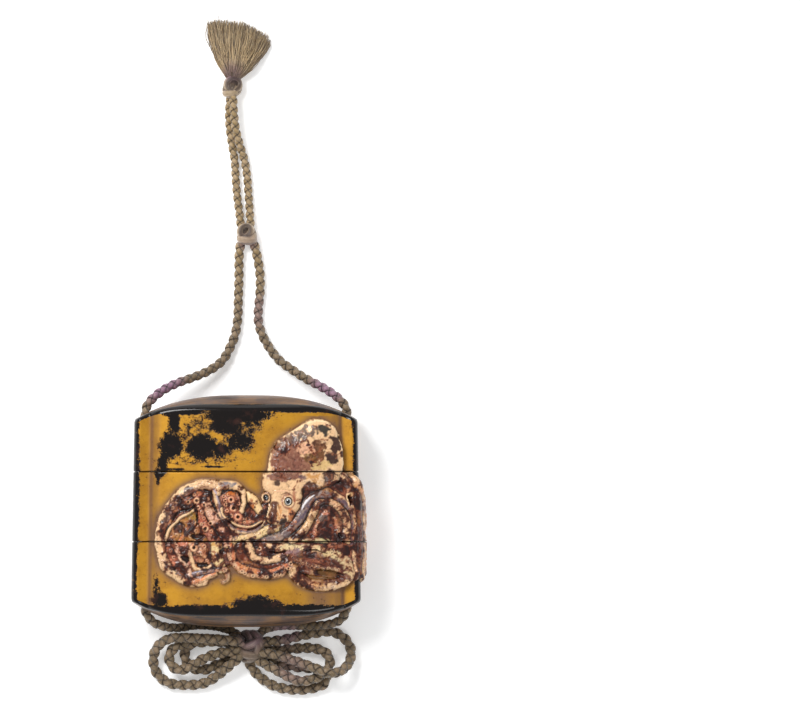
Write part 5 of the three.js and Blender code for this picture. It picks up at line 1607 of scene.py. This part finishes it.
def build_knots(material):
    """Each knot as bands wound over a core."""
    wraps = {
        # tilt, roll, half width, half thickness, sway, shift
        "knot_joining": [(28, 78, 1.9, 1.2, 0.1, (-0.3, 0.7, 0)), (-34, 70, 1.5, 1.15, 0.12, (0.4, -0.5, 0)),
                         (20, 40, 1.3, 1.1, 0.1, (0.2, -0.8, 0)), (-8, 12, 1.2, 1.0, 0.0, (0.0, -1.5, 0))],
        "knot_tassel": [(-30, 78, 2.0, 1.15, 0.12, (0.2, 0.5, 0)), (-44, 60, 1.5, 1.1, 0.1, (0.3, 0.2, 0)),
                        (30, 44, 1.4, 1.0, 0.08, (-0.4, -0.9, 0)), (14, 14, 1.1, 0.9, 0.0, (-0.4, -1.7, 0))],
        "bow_knot": [(80, 64, 1.6, 1.15, 0.1, (-1.2, 0, 0)), (102, 58, 1.55, 1.15, 0.1, (0.9, 0.2, 0.1)),
                     (62, 40, 1.5, 1.1, 0.08, (0.2, -0.6, 0)), (-20, 30, 1.5, 1.1, 0.1, (0, -1.2, 0)),
                     (24, 20, 1.4, 1.1, 0.08, (0.1, 1.4, 0))],
    }
    pieces = {}
    for name, knot in KNOTS.items():
        bundle = Bundle()
        for i, (tilt, roll, width, thick, wave, shift) in enumerate(wraps[name]):
            half = np.array(knot["half"]) - np.abs(shift)
            add_wrap(bundle, knot["at"], half, tilt, roll, width, thick, wave, shift, seed=1.7 * i)
        for i in range(3):            # the core that the wraps lie on
            add_wrap(bundle, knot["at"], np.array(knot["half"]) * 0.9, 60 * i, 90, 1.6, 1.4, seed=9 + i)
        mesh = bundle.mesh(name + "_silk", plum_tint)
        pieces[name] = add_piece(name + "_silk", mesh, material, "silk_knot", [name])
    return pieces


def build_tassel(material):
    """A flat fan of loose fibres, combed out from the knot and worn uneven at the end."""
    draw = np.random.default_rng(41)
    root = np.array([-4.0, 129.6, 2.6])
    bundle = Bundle()
    t = np.linspace(0, 1, FIBRE_POINTS)
    for _ in range(FIBRES):
        fan = draw.uniform(-1, 1)
        lift = draw.uniform(0, 1)
        clump = round(fan * 9) / 9
        fan = fan * 0.7 + clump * 0.3 + draw.normal(0, 0.03)
        reach = 15.8 - 1.6 * fan - 3.2 * max(fan, 0) ** 2 - 1.2 * max(-fan, 0) ** 2 + draw.normal(0, 0.75)
        spread = 9.4 * fan + 1.9
        start = root + [1.7 * fan * draw.uniform(0.3, 1), 0.6 * draw.uniform(-1, 1), 1.9 * (lift - 0.5)]
        end = np.array([root[0] + spread, 129.6 + reach, 0.25 + 1.7 * lift])
        crown = 4.7 * (1 - 0.45 * abs(fan)) * lift
        sway = draw.normal(0, 0.42, 2)
        path = start + (end - start) * t[:, None]
        bowed = 1.2 * fan * np.sin(np.pi * t) + sway[0] * np.sin(2 * np.pi * t)
        path[:, 0] += bowed + 0.1 * draw.normal(0, 1, FIBRE_POINTS) * t
        arched = crown * np.sin(np.pi * t ** 0.8) * (1 - t) * 0.9
        path[:, 2] += arched + 0.12 * sway[1] * np.sin(3 * np.pi * t)
        path[:, 2] = np.maximum(path[:, 2], 0.22)
        across, up = path_axes(path)
        thick = 0.14 * (1 - 0.45 * t ** 3) * draw.uniform(0.7, 1.3)
        # each fibre also gets a random darker tone
        bundle.add(path, across, up, thick, thick, t * 18, sides=3, seed=draw.uniform(0, 40),
                   dip=0.9 * draw.random() ** 2)
    mesh = bundle.mesh("tassel_fibres", plum_tint)
    fibres = add_piece("tassel_fibres", mesh, material, "silk_tassel", ["tassel"])
    turn = 2 * np.pi * np.arange(20) / 20
    rings = [np.stack([x + half * np.cos(turn), np.full(20, y), 0.1 + thick / 2 * (1 + np.sin(turn))], 1)
             for y, x, half, thick in ((129.8, -4, 1.3, 2.8), (132, -3.8, 2.2, 3.9), (136, -3.2, 4.0, 3.9),
                                       (138.6, -2.9, 5.0, 3.1), (141.4, -2.7, 5.8, 1.4))]
    points, quads, tris = loft(rings)
    core = raw_mesh("tassel_core", points, quads, tris)
    # the core is painted dark all over, as shade under the fibres
    for label, values in (("fibre", np.stack([points[:, 0] * 6, points[:, 2] * 6, points[:, 1]], 1)),
                          ("plum", plum_tint(points)), ("pale", np.ones(len(points))),
                          ("deep", np.full(len(points), 0.7))):
        set_attribute(core, label, values)
    core_piece = add_piece("tassel_core", core, material, "silk_tassel", ["tassel"])
    return fibres, core_piece


# ------------------------------------------------------------------ eyes
EYES = {
    "eye_near": dict(at=(12.75, 2.85, 25.9), half=(1.15, 1.3, 0.9), look=(-0.1, -0.02)),
    "eye_far": dict(at=(6.05, 4.1, 25.2), half=(0.85, 1.0, 0.75), look=(-0.3, 0.05)),
}


def build_eyes(material):
    """Domed inlaid eyes with a pale ring, a grey iris and a black pupil."""
    for name, eye in EYES.items():
        rows, columns = 40, 56
        polar = np.pi * (np.arange(rows) + 0.5) / rows
        turn = 2 * np.pi * np.arange(columns) / columns
        rings = []
        for p in polar:
            rings.append(np.stack([math.sin(p) * np.cos(turn), math.sin(p) * np.sin(turn),
                                   np.full(columns, math.cos(p))], 1))
        unit = np.array(rings)
        quads, tris = tube_faces(rows, columns)
        flat = unit.reshape(-1, 3)
        points = np.array(eye["at"]) + flat * np.array(eye["half"])
        mesh = raw_mesh(name + "_inlay", points, quads[:, ::-1], tris[:, ::-1])
        away = np.hypot(flat[:, 0] - eye["look"][0], flat[:, 1] - eye["look"][1])
        set_attribute(mesh, "ring", np.where(flat[:, 2] > 0, away, 1.2))
        add_piece(name + "_inlay", mesh, material, "eye_inlay", [name])


# ------------------------------------------------------------------ settings
class InroCaseSettings(bpy.types.PropertyGroup):
    gold: FloatVectorProperty(name="Gold", description="Colour of the sound gold ground", subtype="COLOR",
                              default=tint(196, 140, 34)[:3], min=0, max=1)
    gold_deep: FloatVectorProperty(name="Deep gold", description="Colour of the gold where it is thin",
                                   subtype="COLOR", default=tint(172, 118, 28)[:3], min=0, max=1)
    lacquer: FloatVectorProperty(name="Lacquer", description="Black lacquer under the gold", subtype="COLOR",
                                 default=tint(20, 15, 14)[:3], min=0, max=1)
    gold_metal: FloatProperty(name="Gold metal", description="How metallic the gold is", default=0.35,
                              min=0, max=1, subtype="FACTOR")
    gold_rough: FloatProperty(name="Gold roughness", description="How matt the gold is", default=0.4,
                              min=0, max=1, subtype="FACTOR")
    wear_grain: FloatProperty(name="Wear grain", description="How much the worn edges break up into specks",
                              default=3.0, min=0, max=5)


class InroSilkSettings(bpy.types.PropertyGroup):
    sheen: FloatProperty(name="Sheen", description="Soft sheen of the silk", default=0.35, min=0, max=1,
                         subtype="FACTOR")
    fibre_count: FloatProperty(name="Fibre fineness", description="Fibre lines across one strand",
                               default=7.0, min=1, max=30)


class InroStageSettings(bpy.types.PropertyGroup):
    view_width: FloatProperty(name="View width", description="Width that the camera takes in", default=0.24,
                              min=0.05, max=2, unit="LENGTH")
    view_shift: FloatProperty(name="View offset", default=0.0462, min=-1, max=1, unit="LENGTH",
                              description="How far the view's middle is from the case's, both ways")
    floor_shade: FloatProperty(name="Floor shade", description="Lightness of the floor", default=0.97,
                               min=0, max=1, subtype="FACTOR")
    key_power: FloatProperty(name="Key light", description="Power of the main light", default=6.4, min=0,
                             unit="POWER")
    fill_power: FloatProperty(name="Fill light", description="Power of the light opposite the main one",
                              default=1.7, min=0, unit="POWER")
    top_power: FloatProperty(name="Top light", description="Power of the low light beyond the tassel",
                             default=1.0, min=0, unit="POWER")
    world_strength: FloatProperty(name="Surroundings", description="Brightness of the plain surroundings",
                                  default=0.42, min=0)


# ------------------------------------------------------------------ operators
CAMERA_Z, FLOOR_Z, FLOOR_REACH = 0.6, -0.0002, 1.5
CORD_TONES = {
    "dull": (138, 116, 90), "dull_2": (114, 96, 70), "pale": (176, 150, 114), "pale_2": (152, 126, 84),
    "plum": (150, 110, 136), "dark": (26, 17, 12), "high": (206, 182, 150)}
KNOT_TONES = {
    "dull": (126, 104, 86), "dull_2": (104, 86, 68), "pale": (184, 160, 132), "pale_2": (158, 136, 106),
    "plum": (140, 108, 128), "dark": (58, 42, 36), "high": (210, 190, 166)}
LOOSE_TONES = {
    "dull": (160, 136, 104), "dull_2": (140, 116, 84), "pale": (206, 180, 138), "pale_2": (184, 156, 112),
    "plum": (136, 104, 122), "dark": (92, 70, 48), "high": (232, 212, 178)}


class INRO_OT_stage(bpy.types.Operator):
    """Floor, soft light and a camera that looks straight down"""
    bl_idname = "inro.stage"
    bl_label = "Stage"

    def execute(self, context):
        settings = context.scene.inro_stage
        camera = new_object("camera", bpy.data.cameras.new("camera"))
        camera.data.type = "ORTHO"
        camera.data.ortho_scale = settings.view_width
        camera.data.clip_start = 0.01
        camera.location = (CENTRE_X * MM + settings.view_shift, settings.view_shift, CAMERA_Z)
        context.scene.camera = camera
        self.light("key", (-0.35, 0.42, 0.75), 0.34, settings.key_power)
        self.light("fill", (0.3, -0.5, 0.72), 0.3, settings.fill_power)
        self.light("top", (-0.1, 0.9, 0.25), 0.5, settings.top_power)
        world = bpy.data.worlds.new("studio")
        world.use_nodes = True
        background = world.node_tree.nodes["Background"]
        background.inputs["Color"].default_value = (0.97, 0.985, 1.0, 1)
        background.inputs["Strength"].default_value = settings.world_strength
        context.scene.world = world
        context.scene.view_settings.view_transform = "Standard"
        mesh = bpy.data.meshes.new("floor")
        corners = [(-1, -1), (1, -1), (1, 1), (-1, 1)]
        mesh.from_pydata([(x * FLOOR_REACH, y * FLOOR_REACH, 0) for x, y in corners], [], [(0, 1, 2, 3)])
        mesh.materials.append(floor_material(settings.floor_shade))
        floor = new_object("floor", mesh)
        floor.location.z = FLOOR_Z
        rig.stage(floor)
        return {"FINISHED"}

    @staticmethod
    def light(name, place, size, power):
        lamp = bpy.data.lights.new(name, "AREA")
        lamp.size = size
        lamp.energy = power
        holder = new_object(name, lamp)
        holder.location = place
        holder.rotation_euler = (Vector((0, 0.03, 0)) - Vector(place)).to_track_quat("-Z", "Y").to_euler()


class INRO_OT_silk(bpy.types.Operator):
    """Braided cord, knots, bow and tassel"""
    bl_idname = "inro.silk"
    bl_label = "Silk cord, bow and tassel"

    def execute(self, context):
        settings = context.scene.inro_silk
        fibres = fibre_group()
        cord_silk = silk_material("cord_silk", fibres, CORD_TONES, settings.fibre_count, 0.9,
                                  settings.sheen, 0.5)
        knot_silk = silk_material("knot_silk", fibres, KNOT_TONES, 9.0, 0.35, 0.5, 0.45)
        loose_silk = silk_material("tassel_silk", fibres, LOOSE_TONES, 0.6, 0.15, 0.4, 0.5)
        knots = build_knots(knot_silk)
        tassel = build_tassel(loose_silk)
        laid = {}
        for routes, diameter in ((CORDS, CORD_D), (STRANDS, STRAND_D), (LOOPS, LOOP_D)):
            for name, route in routes.items():
                laid[name] = (*braid(name, route, diameter, cord_silk), diameter)
        on_cord = {"cord_left": [knots["bow_knot"]], "cord_right": [knots["knot_joining"]],
                   "strand_left": [knots["knot_tassel"], *tassel]}
        for name, (piece, points, length, diameter) in laid.items():
            declare_cord(piece, points, length, diameter, on_cord.get(name, []))
        return {"FINISHED"}


class INRO_OT_case(bpy.types.Operator):
    """The three lacquer sections with their carving and wear"""
    bl_idname = "inro.case"
    bl_label = "Lacquer case"

    def execute(self, context):
        layers = carved_layers()
        build_case(lacquer_material(context.scene.inro_case, grain_group()), layers)
        return {"FINISHED"}


class INRO_OT_eyes(bpy.types.Operator):
    """The inlaid eyes of the octopus"""
    bl_idname = "inro.eyes"
    bl_label = "Eyes"

    def execute(self, context):
        build_eyes(eye_material())
        return {"FINISHED"}


class INRO_PT_panel(bpy.types.Panel):
    """Lists the pieces of the case and their settings"""
    bl_idname = "INRO_PT_panel"
    bl_label = "Inro Case"
    bl_space_type = "VIEW_3D"
    bl_region_type = "UI"
    bl_category = "Inro Case"

    def draw(self, context):
        for operator in OPERATORS:
            self.layout.operator(operator.bl_idname)
        for group, owner in SETTINGS.items():
            for key in owner.__annotations__:
                self.layout.prop(getattr(context.scene, group), key)


SETTINGS = {"inro_case": InroCaseSettings, "inro_silk": InroSilkSettings, "inro_stage": InroStageSettings}
OPERATORS = (INRO_OT_stage, INRO_OT_silk, INRO_OT_case, INRO_OT_eyes)


def register():
    for kind in (*SETTINGS.values(), *OPERATORS, INRO_PT_panel):
        bpy.utils.register_class(kind)
    for group, owner in SETTINGS.items():
        setattr(bpy.types.Scene, group, PointerProperty(type=owner))


def unregister():
    for group in SETTINGS:
        delattr(bpy.types.Scene, group)
    for kind in (INRO_PT_panel, *reversed(OPERATORS), *SETTINGS.values()):
        bpy.utils.unregister_class(kind)


def main():
    register()
    bpy.ops.inro.stage()
    bpy.ops.inro.silk()
    bpy.ops.inro.case()
    bpy.ops.inro.eyes()
    with open("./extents.json", "w") as file:
        json.dump({"cad": [list(corner) for corner in CAD_BOX],
                   "visual": [list(corner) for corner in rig.bounds()]}, file)


if __name__ == "__main__":
    main()
